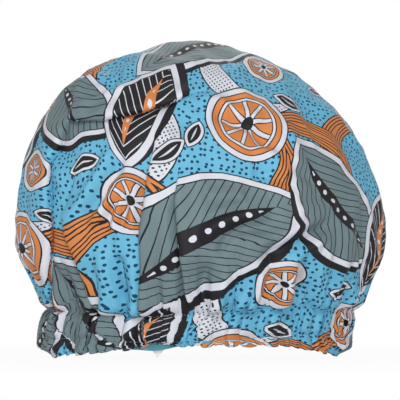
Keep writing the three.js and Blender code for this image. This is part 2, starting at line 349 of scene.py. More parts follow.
class Pleat(NamedTuple):
    """A flap that laps over the cloth beside it, and runs down to the hem or level, from left to right.

    side is 1 where the cloth on the right of a pleat, or above a level one, lies on top. The flap is lifted
    over its width and the cloth under it sinks. The take-up is the length of cloth that is hidden, and fade
    holds the shares of the pleat over which it starts and ends.
    """

    points: list
    side: int
    lift: float
    sink: float
    lap: float
    take_up: float
    width: float = 18.0
    fade: tuple = (0.25, 0.1)
    level: bool = False


class Crease(NamedTuple):
    """A soft ridge, or a valley where height is below 0."""

    points: list
    height: float
    width: float
    fade: tuple = (0.2, 0.2)


# How much deeper and narrower the creases are made than they are listed
CREASE_DEPTH = 1.9
CREASE_WIDTH = 0.78
# Distance from a pleat's fold to the edge of its flap, along the cloth
FLAP_EDGE = 1.6
# Distances over which the sunk cloth rises again, beside the flap and under it
SINK_REACH = 8.0
SINK_UNDER_FLAP = 1.2
# Distance from a pleat within which the print shows the cloth that the pleat takes up
TAKE_UP_REACH = 60.0
# Share of a pleat's way down after which it takes up its whole length
TAKE_UP_BY = 0.6
# The print's step lies hidden under the flap, at this distance from the fold and this wide
STEP_PLACE = 0.2
STEP_WIDTH = 0.6
# Fades of the creases that run down into the gathers
INTO_GATHERS = (0.4, 0.1)
EARLY_INTO_GATHERS = (0.3, 0.1)

FRONT_PLEATS = [
    Pleat(
        [(-77, 152), (-83, 143), (-89, 130), (-94, 116), (-94, 84), (-92.5, 60), (-90, 40), (-88, 26)],
        side=-1, lift=3.4, sink=4.2, lap=3.6, take_up=11.0, width=14.0, fade=(0.2, 0.1),
    ),
    # The crown hangs over the left shoulder here
    Pleat(
        [(-84, 147), (-72, 149), (-58, 149.5), (-43, 153.5), (-24, 158.5), (-6, 163), (14, 167)],
        side=1, lift=4.6, sink=5.0, lap=5.4, take_up=15.0, width=20.0, fade=(0.15, 0.35), level=True,
    ),
    Pleat(
        [(-76, 122), (-79, 96), (-79, 80), (-75, 66), (-69, 50), (-59, 30), (-56, 20)],
        side=1, lift=4.6, sink=4.8, lap=4.8, take_up=14.0, width=20.0,
    ),
    Pleat(
        [(-28, 146), (-29, 118), (-31, 96), (-34, 78), (-33, 52), (-32.5, 28), (-32, 16)],
        side=1, lift=4.8, sink=4.8, lap=5.0, take_up=17.0, width=15.0,
    ),
    Pleat(
        [(-13, 122), (-13.5, 96), (-12, 76), (-9, 52), (-8, 32)],
        side=1, lift=3.4, sink=3.8, lap=3.4, take_up=9.0, width=13.0,
    ),
]
FRONT_CREASES = [
    # Small folds that fan out from the left shoulder
    Crease([(-74, 156), (-60, 166), (-44, 176)], -1.6, 4.0),
    Crease([(-74, 154), (-58, 160), (-38, 166)], 1.6, 4.0),
    Crease([(-77, 158), (-70, 168), (-60, 178)], 1.4, 4.0),
    # From the left shoulder down, and the fan of small folds beside it
    Crease([(-52, 134), (-62, 114), (-71, 96), (-80, 82)], 2.2, 4.5),
    Crease([(-44, 130), (-54, 112), (-63, 96), (-72, 82)], -2.6, 4.5),
    Crease([(-60, 102), (-50, 109), (-42, 108), (-36, 100)], 1.8, 4.0),
    Crease([(-50, 104), (-58, 94), (-66, 80)], 1.8, 3.5),
    Crease([(-48, 102), (-54, 92), (-60, 78)], -1.8, 3.0),
    Crease([(-47, 101), (-50, 91), (-54, 76)], 1.6, 3.0),
    Crease([(-45, 101), (-46, 91), (-48, 78)], -1.8, 3.0),
    Crease([(-43, 103), (-41, 93), (-41, 78)], 1.6, 3.0),
    # Down to the gathers on the left
    Crease([(-62, 74), (-56, 50), (-47, 26)], 2.6, 6.0, EARLY_INTO_GATHERS),
    Crease([(-51, 66), (-47, 52), (-43, 36)], -2.4, 4.0),
    Crease([(-40, 66), (-38, 46), (-36, 26)], 2.2, 4.5, EARLY_INTO_GATHERS),
    # Across the middle, towards the right shoulder
    Crease([(1, 70), (9, 82), (27, 88.5), (44, 88)], 2.4, 4.5),
    Crease([(11, 61), (16, 75), (28, 81), (44, 81)], -2.6, 4.0),
    Crease([(0, 99), (14, 101), (30, 101)], 1.8, 5.0),
    Crease([(0, 87), (14, 91.5), (28, 95)], -1.6, 3.5),
    Crease([(86, 96), (70, 93), (56, 92)], 1.6, 4.0),
    Crease([(84, 92), (62, 83.5), (44, 76), (28, 71)], 2.4, 5.0),
    Crease([(82, 86), (62, 75), (44, 65), (32, 58)], -2.8, 4.5),
    Crease([(79, 80), (65, 68), (52, 59)], 1.6, 4.0),
    Crease([(30, 129), (48, 126), (66, 116)], 2.4, 6.0),
    Crease([(30, 116), (46, 112), (62, 104)], -2.2, 5.0),
    Crease([(4, 153), (30, 143), (52, 124), (76, 104)], -2.2, 5.0),
    Crease([(-8, 160), (18, 156), (40, 144)], 1.6, 6.0),
    # Down to the gathers on the right
    Crease([(36, 56), (28, 49), (22, 40)], -2.0, 3.5),
    Crease([(38, 54), (37, 44), (36, 30)], 1.8, 4.0, INTO_GATHERS),
    Crease([(46, 58), (45, 46), (44, 32)], -1.8, 4.0, INTO_GATHERS),
    Crease([(54, 58), (53, 46), (52, 30)], 1.8, 4.0, INTO_GATHERS),
    Crease([(63, 64), (61, 50), (60, 32)], -2.4, 4.0, INTO_GATHERS),
    Crease([(73, 68), (71, 50), (68, 32)], 2.6, 5.0, INTO_GATHERS),
    Crease([(83, 76), (81, 54), (77, 32)], -2.6, 5.0, INTO_GATHERS),
    Crease([(95, 72), (94, 50), (89, 30)], 2.2, 5.0, INTO_GATHERS),
    Crease([(16, 60), (14, 46), (13, 32)], 2.0, 4.0, INTO_GATHERS),
    Crease([(5, 62), (3, 48), (3, 32)], -1.8, 4.0, INTO_GATHERS),
]
BACK_PLEATS = [
    Pleat(
        [(-58, 128), (-62, 98), (-60, 66), (-54, 40), (-52, 24)],
        side=1, lift=4.0, sink=4.0, lap=4.2, take_up=16.0,
    ),
    Pleat(
        [(24, 118), (27, 88), (30, 60), (29, 34), (29, 20)],
        side=-1, lift=4.2, sink=4.4, lap=4.4, take_up=20.0,
    ),
    Pleat(
        [(86, 104), (85, 76), (80, 48), (78, 28)],
        side=-1, lift=3.2, sink=3.4, lap=3.4, take_up=12.0,
    ),
]
BACK_CREASES = [
    # Across the crown
    Crease([(-30, 152), (-10, 134), (8, 104)], -2.4, 5.0),
    Crease([(-40, 144), (-22, 124), (-8, 98)], 2.2, 5.0),
    Crease([(40, 140), (56, 116), (64, 88)], 2.4, 5.0),
    Crease([(50, 146), (68, 118), (76, 90)], -2.4, 4.5),
    Crease([(36, 92), (50, 87), (66, 90)], 1.6, 5.0),
    Crease([(38, 83), (52, 78), (66, 81)], -1.8, 4.5),
    Crease([(-50, 96), (-38, 84), (-22, 80)], -2.0, 4.0),
    Crease([(-52, 103), (-38, 92), (-20, 88)], 1.8, 4.0),
    # Down to the gathers
    Crease([(-86, 90), (-88, 64), (-82, 36)], -2.4, 5.0, INTO_GATHERS),
    Crease([(-76, 82), (-78, 60), (-73, 34)], 2.2, 5.0, INTO_GATHERS),
    Crease([(-44, 70), (-42, 52), (-41, 32)], -2.0, 4.0, INTO_GATHERS),
    Crease([(-34, 68), (-33, 50), (-33, 32)], 1.8, 4.0, INTO_GATHERS),
    Crease([(-20, 70), (-17, 52), (-17, 32)], 2.0, 4.5, INTO_GATHERS),
    Crease([(-7, 66), (-6, 50), (-6, 32)], -2.0, 4.0, INTO_GATHERS),
    Crease([(6, 68), (7, 50), (6, 32)], 2.0, 4.0, INTO_GATHERS),
    Crease([(48, 68), (49, 50), (47, 32)], -2.2, 4.0, INTO_GATHERS),
    Crease([(60, 68), (61, 50), (58, 32)], 2.2, 4.5, INTO_GATHERS),
    Crease([(97, 76), (96, 54), (90, 32)], -2.0, 4.0, INTO_GATHERS),
]


def distance_to_route(route, round_, up):
    """Distance of each cloth point to a route, the share along it and the direction across it.

    The distance is above 0 on the right of a route that runs down, and above a level one.
    """
    best = np.full(round_.shape, FAR)
    signed = np.zeros(round_.shape)
    share = np.zeros(round_.shape)
    facing = np.zeros(round_.shape + (2,))
    for k in range(len(route) - 1):
        start = route[k]
        leg = route[k + 1] - start
        length2 = max(leg @ leg, TINY)
        t = np.clip(((round_ - start[0]) * leg[0] + (up - start[1]) * leg[1]) / length2, 0.0, 1.0)
        gap_x = round_ - (start[0] + t * leg[0])
        gap_y = up - (start[1] + t * leg[1])
        gap = np.hypot(gap_x, gap_y)
        nearer = gap < best
        turn = np.sign(gap_y * leg[0] - gap_x * leg[1])
        signed = np.where(nearer, gap * turn, signed)
        share = np.where(nearer, (k + t) / (len(route) - 1), share)
        facing = np.where(nearer[..., None], np.array([-leg[1], leg[0]]) / math.sqrt(length2), facing)
        best = np.where(nearer, gap, best)
    return signed, share, facing


def ends_fade(share, fade):
    top, bottom = fade
    return smooth_step(0.0, top, share) * (1.0 - smooth_step(1.0 - bottom, 1.0, share))


def fold_field(form, pleats, creases, round_, up, front):
    """How far the folds stand out, and how far they shift and take up the cloth, each round and up."""
    out = np.zeros(round_.shape)
    shift = np.zeros(round_.shape + (2,))
    taken = np.zeros(round_.shape + (2,))

    def route_of(fold):
        seen = smooth_route(fold.points)
        return np.stack(form.on_cloth(seen[:, 0], seen[:, 1], front), axis=1)

    for pleat in pleats:
        route = route_of(pleat)
        signed, share, across = distance_to_route(route, round_, up)
        top_side = pleat.side if front else -pleat.side
        onto = signed * top_side
        weight = ends_fade(share, pleat.fade)
        flap = np.maximum(onto, 0.0)
        under = np.maximum(-onto, 0.0)
        rise = pleat.lift * (1.0 - bell(flap, FLAP_EDGE)) * np.exp(-flap / pleat.width)
        dip = -pleat.sink * np.exp(-under / SINK_REACH) * np.exp(-flap / SINK_UNDER_FLAP)
        out += weight * (rise + dip)
        lap = weight * top_side * pleat.lap * flap / FLAP_EDGE * np.exp(1.0 - flap / FLAP_EDGE)
        shift -= lap[..., None] * across
        if pleat.level:
            begun = weight
        else:
            whole_at = (1.0 - TAKE_UP_BY) * route[0, 1] + TAKE_UP_BY * route[-1, 1]
            begun = smooth_step(route[0, 1], whole_at, up)
        nearby = np.exp(-np.abs(signed) / TAKE_UP_REACH)
        step = np.tanh((onto - STEP_PLACE) / STEP_WIDTH)
        length = begun * 0.5 * top_side * pleat.take_up * step * nearby
        taken += length[..., None] * across
    for crease in creases:
        signed, share, _ = distance_to_route(route_of(crease), round_, up)
        depth = CREASE_DEPTH * crease.height * ends_fade(share, crease.fade)
        out += depth * bell(signed, CREASE_WIDTH * crease.width)
    return out, shift, taken


# Sheets of cloth

# Angle under which a place counts as the middle of the flat cut
SMALL_ANGLE = 1e-6
# Distance of a panel's edge from the seam's plane
SEAM_HALF_GAP = 0.04


def flat_cut(form, angle, middle):
    """Where each cloth point lay on the flat cut: across and up, in millimetres."""
    turn = angle - middle
    latitude = form.latitude[:, None]
    away = np.arccos(np.clip(np.cos(latitude) * np.cos(turn), -1.0, 1.0))
    stretch = np.where(away > SMALL_ANGLE, away / np.maximum(np.sin(away), SMALL_ANGLE), 1.0)
    on_crown = latitude > 0
    across = np.where(on_crown, CUT_RADIUS * stretch * np.cos(latitude) * np.sin(turn), CUT_RADIUS * turn)
    up = np.where(on_crown, CUT_RADIUS * stretch * np.sin(latitude), form.along[:, None])
    return across, up


def gathered_cut(points, across):
    """Moves places on the flat cut sideways, so that a pucker shows all the cloth that it holds."""
    steps = np.linalg.norm(np.diff(points, axis=1), axis=2)
    run = np.concatenate([np.zeros((len(points), 1)), np.cumsum(steps, axis=1)], axis=1)
    whole = np.maximum(run[:, -1:], TINY)
    drift = (2.0 * run / whole - 1.0) * CUT_HALF_WIDTH - across
    reach = GATHER_COLUMNS // 2
    padded = np.pad(drift, ((0, 0), (reach + 1, reach)), mode="edge").cumsum(axis=1)
    mean = (padded[:, 2 * reach + 1 :] - padded[:, : -2 * reach - 1]) / (2 * reach + 1)
    return across + drift - mean


def unit(vectors):
    return vectors / np.maximum(np.linalg.norm(vectors, axis=2, keepdims=True), TINY)


def directions(points):
    """Unit vectors of a grid of points: outwards, round the cap and up along the cloth."""
    round_ = np.gradient(points, axis=1)
    up = np.gradient(points, axis=0)
    outward = unit(np.cross(round_, up))
    outward[-1] = (0.0, 0.0, 1.0)
    return outward, unit(round_), unit(up)


def moved(points, relief, shift):
    """Moves the points of a grid outwards, round and up."""
    outward, round_, up = directions(points)
    return points + outward * relief[..., None] + round_ * shift[..., :1] + up * shift[..., 1:]


def drop_heading(points, lower_edge):
    """Spreads the rows below the lower stitches down to the hem edge."""
    z = points[..., 2]
    share = np.clip(z / LOWER_STITCH_Z, 0.0, 1.0)
    lowered = lower_edge + (LOWER_STITCH_Z - lower_edge) * share
    points[..., 2] = np.where(z < LOWER_STITCH_Z, lowered, z)


def close_seam(points, front):
    """Brings the panel's edges to the seam plane and its top row to one point."""
    seam_y = -SEAM_HALF_GAP if front else SEAM_HALF_GAP
    points[-1] = points[-1].mean(axis=0)
    points[-1, :, 1] = seam_y
    points[:, 0, 1] = seam_y
    points[:, -1, 1] = seam_y


def above_stitches(fade, z):
    """From 0 to 1 between two heights, both given from the upper stitches."""
    return smooth_step(UPPER_STITCH_Z + fade[0], UPPER_STITCH_Z + fade[1], z)


def round_ends(relief, angle, y, z):
    """Gives the hem's two ends a smooth outline that curls in below."""
    share = bell(y, END_REACH) * (1.0 - above_stitches((-END_FADE, END_FADE), z))
    low = 1.0 - smooth_step(0.0, END_TUCK_HEIGHT, z)
    tuck = END_TUCK * np.abs(np.cos(angle)) ** END_TUCK_POWER * low
    return relief + (soft_curve(END_LEVELS, z) - relief) * share - tuck


# Folds die out between these latitudes and beside the seam, and leave this share of them on the band
TOP_CALM = (math.radians(62), math.radians(88))
SEAM_CALM = 14.0
FOLD_FADE = (-6.0, 16.0)
FOLDS_ON_BAND = 0.25
# How the puckers wander round as they rise, as an angle
WANDER = Waves(0.022, 26.0, 2.2, 3.1)
# The gathers are flatter at the seam
SEAM_FLATTENS = 0.6
SEAM_FLAT_REACH = 5.0
# Soft lumps, and fine sharp creases in no order that run more up and down than across
LUMPS = (Waves(1.4, 62.0, 1.0, 7.7), Waves(1.3, 21.0, 1.0, 1.3), Waves(0.5, 9.0, 0.6, 2.9))
LUMP_FADE = (0.0, 30.0)
CRINKLES = (Waves(6.5, 34.0, 0.7, 4.4), Waves(2.9, 17.0, 0.7, 6.2))
CRINKLE_LEVEL = 0.2
# The crown seam sinks in, less so on the band, and tugs at the cloth beside it
SEAM_SINK = 1.3
SEAM_WIDTH = 2.2
SEAM_ON_BAND = 0.35
SEAM_FADE = (4.0, 26.0)
TUG = 0.45
TUG_PITCH = 3.4
TUG_REACH = 8.0
TUG_WAVES = Waves(4.0, 30.0, 1.0, 5.0)
# The lean of a pucker's crest dies out above its foot, and is this share of itself at the hem edge
LEAN_RUN = 9.0
LEAN_AT_EDGE = 0.3


def cloth_lumps(x, y, z, crinkled):
    """Lumps and fine creases of the crown; crinkled is the share of the creases that is left."""
    height = sum(waves.at(x, y, z) for waves in LUMPS)
    crinkle = sum(waves.height * (CRINKLE_LEVEL - np.abs(waves.shape(x, y, z))) for waves in CRINKLES)
    return (height + crinkle * crinkled) * above_stitches(LUMP_FADE, z)


def seam_relief(x, y, z, up):
    """How far the crown seam and the small tugs beside it move the cloth."""
    above = above_stitches(SEAM_FADE, z)
    tug = TUG * np.sin(up / TUG_PITCH + TUG_WAVES.at(x, y, z)) * bell(y, TUG_REACH) * above
    return tug, -SEAM_SINK * bell(y, SEAM_WIDTH) * (SEAM_ON_BAND + (1.0 - SEAM_ON_BAND) * above)


def crest_lean(form, angle, wander, y, z):
    """How far the crests of the puckers lean over sideways."""
    level = soft_curve(PUCKER_LEVELS, z) * np.exp(-np.maximum(z - GATHER_FOOT, 0.0) / LEAN_RUN)
    lean = PUCKER_LEAN * HEM_PUCKERS.leaning(angle + wander) * form.reach[:, None]
    lean = lean * (LEAN_AT_EDGE + (1.0 - LEAN_AT_EDGE) * smooth_step(0.0, LOWER_STITCH_Z, z))
    return lean * level * (1.0 - bell(y, END_REACH))


def cloth_relief(form, angle, points, front):
    """How far a panel's cloth stands out, shifts and is taken up, and how its puckers wander."""
    x, y, z = points[..., 0], points[..., 1], points[..., 2]
    round_ = (angle - angle[0].mean()) * form.reach[:, None]
    up = np.repeat(form.along[:, None], angle.shape[1], axis=1)
    pleats, creases = (FRONT_PLEATS, FRONT_CREASES) if front else (BACK_PLEATS, BACK_CREASES)
    out, shift, taken = fold_field(form, pleats, creases, round_, up, front)
    below_top = 1.0 - smooth_step(*TOP_CALM, form.latitude)[:, None]
    off_seam = 1.0 - bell(y, SEAM_CALM)
    off_band = above_stitches(FOLD_FADE, z)
    out = out * below_top * off_seam * (FOLDS_ON_BAND + (1.0 - FOLDS_ON_BAND) * off_band)
    shift = shift * (below_top * off_seam * off_band)[..., None]

    wander = WANDER.at(x, y, z)
    gathers = gather_depth(angle, z, wander) * (1.0 - SEAM_FLATTENS * bell(y, SEAM_FLAT_REACH))
    lumps = cloth_lumps(x, y, z, below_top * off_seam)
    tug, seam = seam_relief(x, y, z, up)
    relief = round_ends(out + gathers + lumps + tug + seam, angle, y, z)
    shift[..., 0] += crest_lean(form, angle, wander, y, z)
    return relief, shift, taken * below_top[..., None], wander


# Between these heights over the upper stitches the print passes from gathered to smooth
PRINT_FADE = (3.0, 22.0)
# The hem edge: how far it rises between its puckers, how round those are there, and how it wavers
HEM_SCALLOP = 2.3
HEM_ROUND = 0.5
HEM_WAVER = Waves(0.7, 17.0, 0.0, 9.0)
# Beside the label the front edge turns up
TURN_UP = 2.6
TURN_UP_X = -28.0
TURN_UP_REACH = 10.0


def printed_cloth(front):
    """Points of a printed panel and their places on its flat cut."""
    form = CapForm(OUTER_ROWS, OUTER_INSET_BAND, OUTER_INSET_CROWN)
    angle = panel_angles(front, OUTER_COLUMNS, len(form.z))
    points = form.grid(angle)
    x, y, z = points[..., 0].copy(), points[..., 1].copy(), points[..., 2].copy()
    relief, shift, taken, wander = cloth_relief(form, angle, points, front)
    points = moved(points, relief, shift)

    across, rise = flat_cut(form, angle, angle[0].mean())
    gathered = 1.0 - above_stitches(PRINT_FADE, z)
    across = across * (1.0 - gathered) + gathered_cut(points, across) * gathered + taken[..., 0]
    rise = rise + taken[..., 1]

    hump, strength, _ = HEM_PUCKERS.at(angle + wander, HEM_ROUND)
    edge = hem_edge_height(angle) + HEM_SCALLOP - HEM_SCALLOP * hump * np.minimum(strength, 1.0)
    edge = edge - HEM_WAVER.at(x, y, z)
    turned_up = TURN_UP * bell(x - TURN_UP_X, TURN_UP_REACH) if front else 0.0
    drop_heading(points, np.maximum(edge + turned_up, 0.0))
    lift_band(points)
    points[..., 2] = np.maximum(points[..., 2], 0.0)
    close_seam(points, front)
    if not front:
        across = across + BACK_CUT_SHIFT[0]
        rise = rise + BACK_CUT_SHIFT[1]
    return points, across, rise


# Room that the lining keeps from the printed cloth, on the crown and where both are sewn together
LAYER_ROOM = 2.2
SEWN_ROOM = 1.3
# Share of the printed cloth's folds that the lining follows, and where it starts to
LINING_FOLLOWS = 0.4
FOLLOW_FADE = (2.0, 30.0)
# Where the lining is sewn to the printed cloth: all along the heading and at the upper stitches
ELASTIC_ROOM = 0.3
SEWN_LEVELS = [
    (0, 1.0), (LOWER_STITCH_Z, 1.0), (ELASTIC_BOTTOM - ELASTIC_ROOM, 0.0),
    (ELASTIC_TOP + ELASTIC_ROOM, 0.0), (UPPER_STITCH_Z, 1.0), (34, 0.0),
]
# How far the lining lies in behind the gathers, and how deep and round its own puckers are
LINING_LEVELS = [(0, 0.0), (UPPER_STITCH_Z, 0.0), (34, -1.6), (48, -1.6), (66, 0.0)]
LINING_PUCKER = 2.4
LINING_ROUND = 0.9
LINING_PUCKER_LEVELS = [
    (0, 0.5), (ELASTIC_BOTTOM, 0.7), (18, 1.0), (24, 1.0), (UPPER_STITCH_Z, 0.7), (36, 1.0),
]
LINING_FOOT = 36.0
LINING_RUN = (8.0, 20.0)
# How far the lining curls in at the two ends of the hem
LINING_TUCK = 7.0
LINING_TUCK_POWER = 6
# Height of the lining's edge over the lowest edge of the printed cloth
LINING_EDGE = 2.2
# The label is sewn on here, where the lining lies flat and shows below the hem
LABEL_X = -26.0
FLAT_REACH = 11.0
FLAT_POWER = 6
FLAT_OUT = 1.0
PEEK_REACH = 13.0
PEEK_DROP = 2.2


def satin_cloth(front):
    """Points of a lining panel and their places on its flat cut."""
    form = CapForm(LINING_ROWS, LINING_INSET_BAND, LINING_INSET_CROWN)
    outer_form = CapForm(LINING_ROWS, OUTER_INSET_BAND, OUTER_INSET_CROWN)
    angle = panel_angles(front, LINING_COLUMNS, len(form.z))
    points = form.grid(angle)
    x, z = points[..., 0].copy(), points[..., 2].copy()
    outer = outer_form.grid(angle)
    relief, shift, _, wander = cloth_relief(outer_form, angle, outer, front)

    hump, strength, fade = HEM_PUCKERS.at(angle + wander, LINING_ROUND)
    drop = np.exp(-np.maximum(z - LINING_FOOT, 0.0) / (LINING_RUN[0] + LINING_RUN[1] * fade))
    level = soft_curve(LINING_PUCKER_LEVELS, z) * drop
    follows = LINING_FOLLOWS * above_stitches(FOLLOW_FADE, z)
    out = soft_curve(LINING_LEVELS, z) - LINING_PUCKER * level * strength * hump + follows * relief
    low = 1.0 - smooth_step(0.0, LOWER_STITCH_Z, z)
    out = out - LINING_TUCK * np.abs(np.cos(angle)) ** LINING_TUCK_POWER * low
    on_crown = smooth_step(UPPER_STITCH_Z, WIDEST_Z, z)
    between = LINING_INSET_BAND - OUTER_INSET_BAND
    between = between + (LINING_INSET_CROWN - OUTER_INSET_CROWN - between) * on_crown
    out = np.minimum(out, relief + between - LAYER_ROOM)
    sewn = soft_curve(SEWN_LEVELS, z)
    if front:
        below = 1.0 - smooth_step(LOWER_STITCH_Z, ELASTIC_BOTTOM, z)
        beside_label = np.exp(-(((x - LABEL_X) / FLAT_REACH) ** FLAT_POWER)) * below
        out = out + (FLAT_OUT - out) * beside_label
        sewn = sewn * (1.0 - beside_label)
    points = points + directions(points)[0] * out[..., None]
    outer = moved(outer, relief, shift)
    outer = outer - directions(outer)[0] * SEWN_ROOM
    points = points + (outer - points) * sewn[..., None]

    peeking = PEEK_DROP * bell(x - LABEL_X, PEEK_REACH) if front else 0.0
    drop_heading(points, hem_edge_height(angle) + LINING_EDGE - peeking)
    lift_band(points)
    close_seam(points, front)
    across, rise = flat_cut(form, angle, angle[0].mean())
    return points, across, rise


def new_object(name, data):
    made = bpy.data.objects.new(name, data)
    bpy.context.scene.collection.objects.link(made)
    return made


def new_piece(name, verts, faces, material, flat=None):
    """A smooth mesh in metres; flat is each point's place on its flat cut, for the UV map."""
    mesh = bpy.data.meshes.new(name)
    mesh.from_pydata(verts.tolist(), [], faces)
    if flat is not None:
        loops = np.empty(len(mesh.loops), dtype=np.int32)
        mesh.loops.foreach_get("vertex_index", loops)
        layer = mesh.uv_layers.new(name="cut")
        layer.data.foreach_set("uv", flat[loops].astype(np.float32).ravel())
    mesh.polygons.foreach_set("use_smooth", np.ones(len(mesh.polygons), dtype=bool))
    mesh.materials.append(material)
    mesh.update()
    return new_object(name, mesh)


def thicken(sheet, thickness, side):
    """Gives a sheet its thickness, behind its faces where side is -1 and before them where it is 1."""
    wall = sheet.modifiers.new("cloth", "SOLIDIFY")
    wall.thickness = thickness * MM
    wall.offset = side


def cloth_piece(name, cloth, thickness, side, material):
    """A closed sheet from its rows of points, the last of which is one point, with its flat cut."""
    points, across, rise = cloth
    rows, columns = points.shape[:2]
    verts = np.vstack([points[:-1].reshape(-1, 3), points[-1, :1]]) * MM
    top = len(verts) - 1
    faces = []
    for j in range(rows - 2):
        low = j * columns
        high = low + columns
        faces.extend((low + i, low + i + 1, high + i + 1, high + i) for i in range(columns - 1))
    last = (rows - 2) * columns
    faces.extend((last + i, last + i + 1, top) for i in range(columns - 1))
    flat = np.stack([across, rise], axis=2) * MM
    flat = np.vstack([flat[:-1].reshape(-1, 2), flat[-1, :1]])
    piece = new_piece(name, verts, faces, material, flat)
    thicken(piece, thickness, side)
    return piece


# Sewing: stitches that follow the cloth

# Sides and rings of one stitch, which is a grain 1 unit across before it is scaled
GRAIN_SIDES = 6
GRAIN_RINGS = 5
GRAIN_RADIUS = 0.5


class Stitch(NamedTuple):
    """Sizes of a row of stitches, in millimetres."""

    pitch: float
    length: float
    thickness: float


CASING_STITCH = Stitch(3.0, 2.2, 0.32)
SEAM_STITCH = Stitch(2.6, 2.1, 0.45)
ZIGZAG_STITCH = Stitch(1.6, 1.7, 0.5)
TACK_STITCH = Stitch(2.6, 2.2, 0.5)


def stitch_tree():
    """Nodes that lay short stitches end to end along the edges of a mesh."""
    tree = bpy.data.node_groups.new("sewing_stitches", "GeometryNodeTree")
    inputs = {}
    for name, kind in (
        ("Path", "NodeSocketGeometry"),
        ("Pitch", "NodeSocketFloat"),
        ("Length", "NodeSocketFloat"),
        ("Thickness", "NodeSocketFloat"),
        ("Thread", "NodeSocketMaterial"),
    ):
        inputs[name] = tree.interface.new_socket(name, in_out="INPUT", socket_type=kind).identifier
    tree.interface.new_socket("Stitches", in_out="OUTPUT", socket_type="NodeSocketGeometry")

    def node(kind, **settings):
        made = tree.nodes.new(kind)
        for key, value in settings.items():
            setattr(made, key, value)
        return made

    given = node("NodeGroupInput")
    route = node("GeometryNodeMeshToCurve")
    spaced = node("GeometryNodeResampleCurve", mode="LENGTH")
    heading = node("GeometryNodeInputTangent")
    turned = node("FunctionNodeAlignRotationToVector", axis="X")
    grain = node("GeometryNodeMeshUVSphere")
    grain.inputs["Segments"].default_value = GRAIN_SIDES
    grain.inputs["Rings"].default_value = GRAIN_RINGS
    grain.inputs["Radius"].default_value = GRAIN_RADIUS
    size = node("ShaderNodeCombineXYZ")
    placed = node("GeometryNodeInstanceOnPoints")
    real = node("GeometryNodeRealizeInstances")
    smooth = node("GeometryNodeSetShadeSmooth")
    dyed = node("GeometryNodeSetMaterial")
    result = node("NodeGroupOutput")
    for start, end in (
        (given.outputs["Path"], route.inputs["Mesh"]),
        (route.outputs["Curve"], spaced.inputs["Curve"]),
        (given.outputs["Pitch"], spaced.inputs["Length"]),
        (heading.outputs[0], turned.inputs["Vector"]),
        (given.outputs["Length"], size.inputs[0]),
        (given.outputs["Thickness"], size.inputs[1]),
        (given.outputs["Thickness"], size.inputs[2]),
        (spaced.outputs["Curve"], placed.inputs["Points"]),
        (grain.outputs["Mesh"], placed.inputs["Instance"]),
        (turned.outputs[0], placed.inputs["Rotation"]),
        (size.outputs[0], placed.inputs["Scale"]),
        (placed.outputs["Instances"], real.inputs["Geometry"]),
        (real.outputs["Geometry"], smooth.inputs["Geometry"]),
        (smooth.outputs["Geometry"], dyed.inputs["Geometry"]),
        (given.outputs["Thread"], dyed.inputs["Material"]),
        (dyed.outputs["Geometry"], result.inputs["Stitches"]),
    ):
        tree.links.new(start, end)
    return tree, inputs


def sewn_line(name, lines, stitch, thread):
    """A piece of stitches along lines of points in millimetres, each of them open or closed."""
    verts = []
    edges = []
    for line, closed in lines:
        first = len(verts)
        verts.extend(tuple(p) for p in np.asarray(line) * MM)
        edges.extend((i, i + 1) for i in range(first, len(verts) - 1))
        if closed:
            edges.append((len(verts) - 1, first))
    path = bpy.data.meshes.new(name + "_path")
    path.from_pydata(verts, edges, [])
    source = new_object(name + "_path", path)
    modifier = source.modifiers.new("stitches", "NODES")
    modifier.node_group = STITCHES
    modifier[STITCH_INPUTS["Pitch"]] = stitch.pitch * MM
    modifier[STITCH_INPUTS["Length"]] = stitch.length * MM
    modifier[STITCH_INPUTS["Thickness"]] = stitch.thickness * MM
    modifier[STITCH_INPUTS["Thread"]] = thread
    graph = bpy.context.evaluated_depsgraph_get()
    mesh = bpy.data.meshes.new_from_object(source.evaluated_get(graph), depsgraph=graph)
    mesh.name = name
    bpy.data.objects.remove(source)
    return new_object(name, mesh)


def cloth_ring(front, back, row, lift):
    """A closed line round both panels at a row, given as a number that may lie between two rows."""
    ring = []
    for points in (front, back):
        normal = directions(points)[0]
        low = int(row)
        share = row - low
        line = points[low] * (1 - share) + points[low + 1] * share
        facing = normal[low] * (1 - share) + normal[low + 1] * share
        ring.append((line + facing * lift)[:-1])
    return np.vstack(ring)


def seam_line(points, lift, lowest):
    """A line over the crown along a panel's two edges, from the hem on one side to the hem on the other."""
    raised = points + directions(points)[0] * lift
    line = np.vstack([raised[lowest:-1, 0], raised[-1:, 0], raised[lowest:-1, -1][::-1]])
    line[:, 1] = 0.0
    return line


# Elastic and label

ELASTIC_RIBS = 8
ELASTIC_RIB_DEPTH = 0.16
ELASTIC_RIB_POINTS = 4
ELASTIC_THICKNESS = 0.9
ELASTIC_STEPS = 320
# The strip starts this far inside the neck's outline and winds outwards by this much in a turn
ELASTIC_INSET = 4.6
ELASTIC_SPIRAL = 1.3


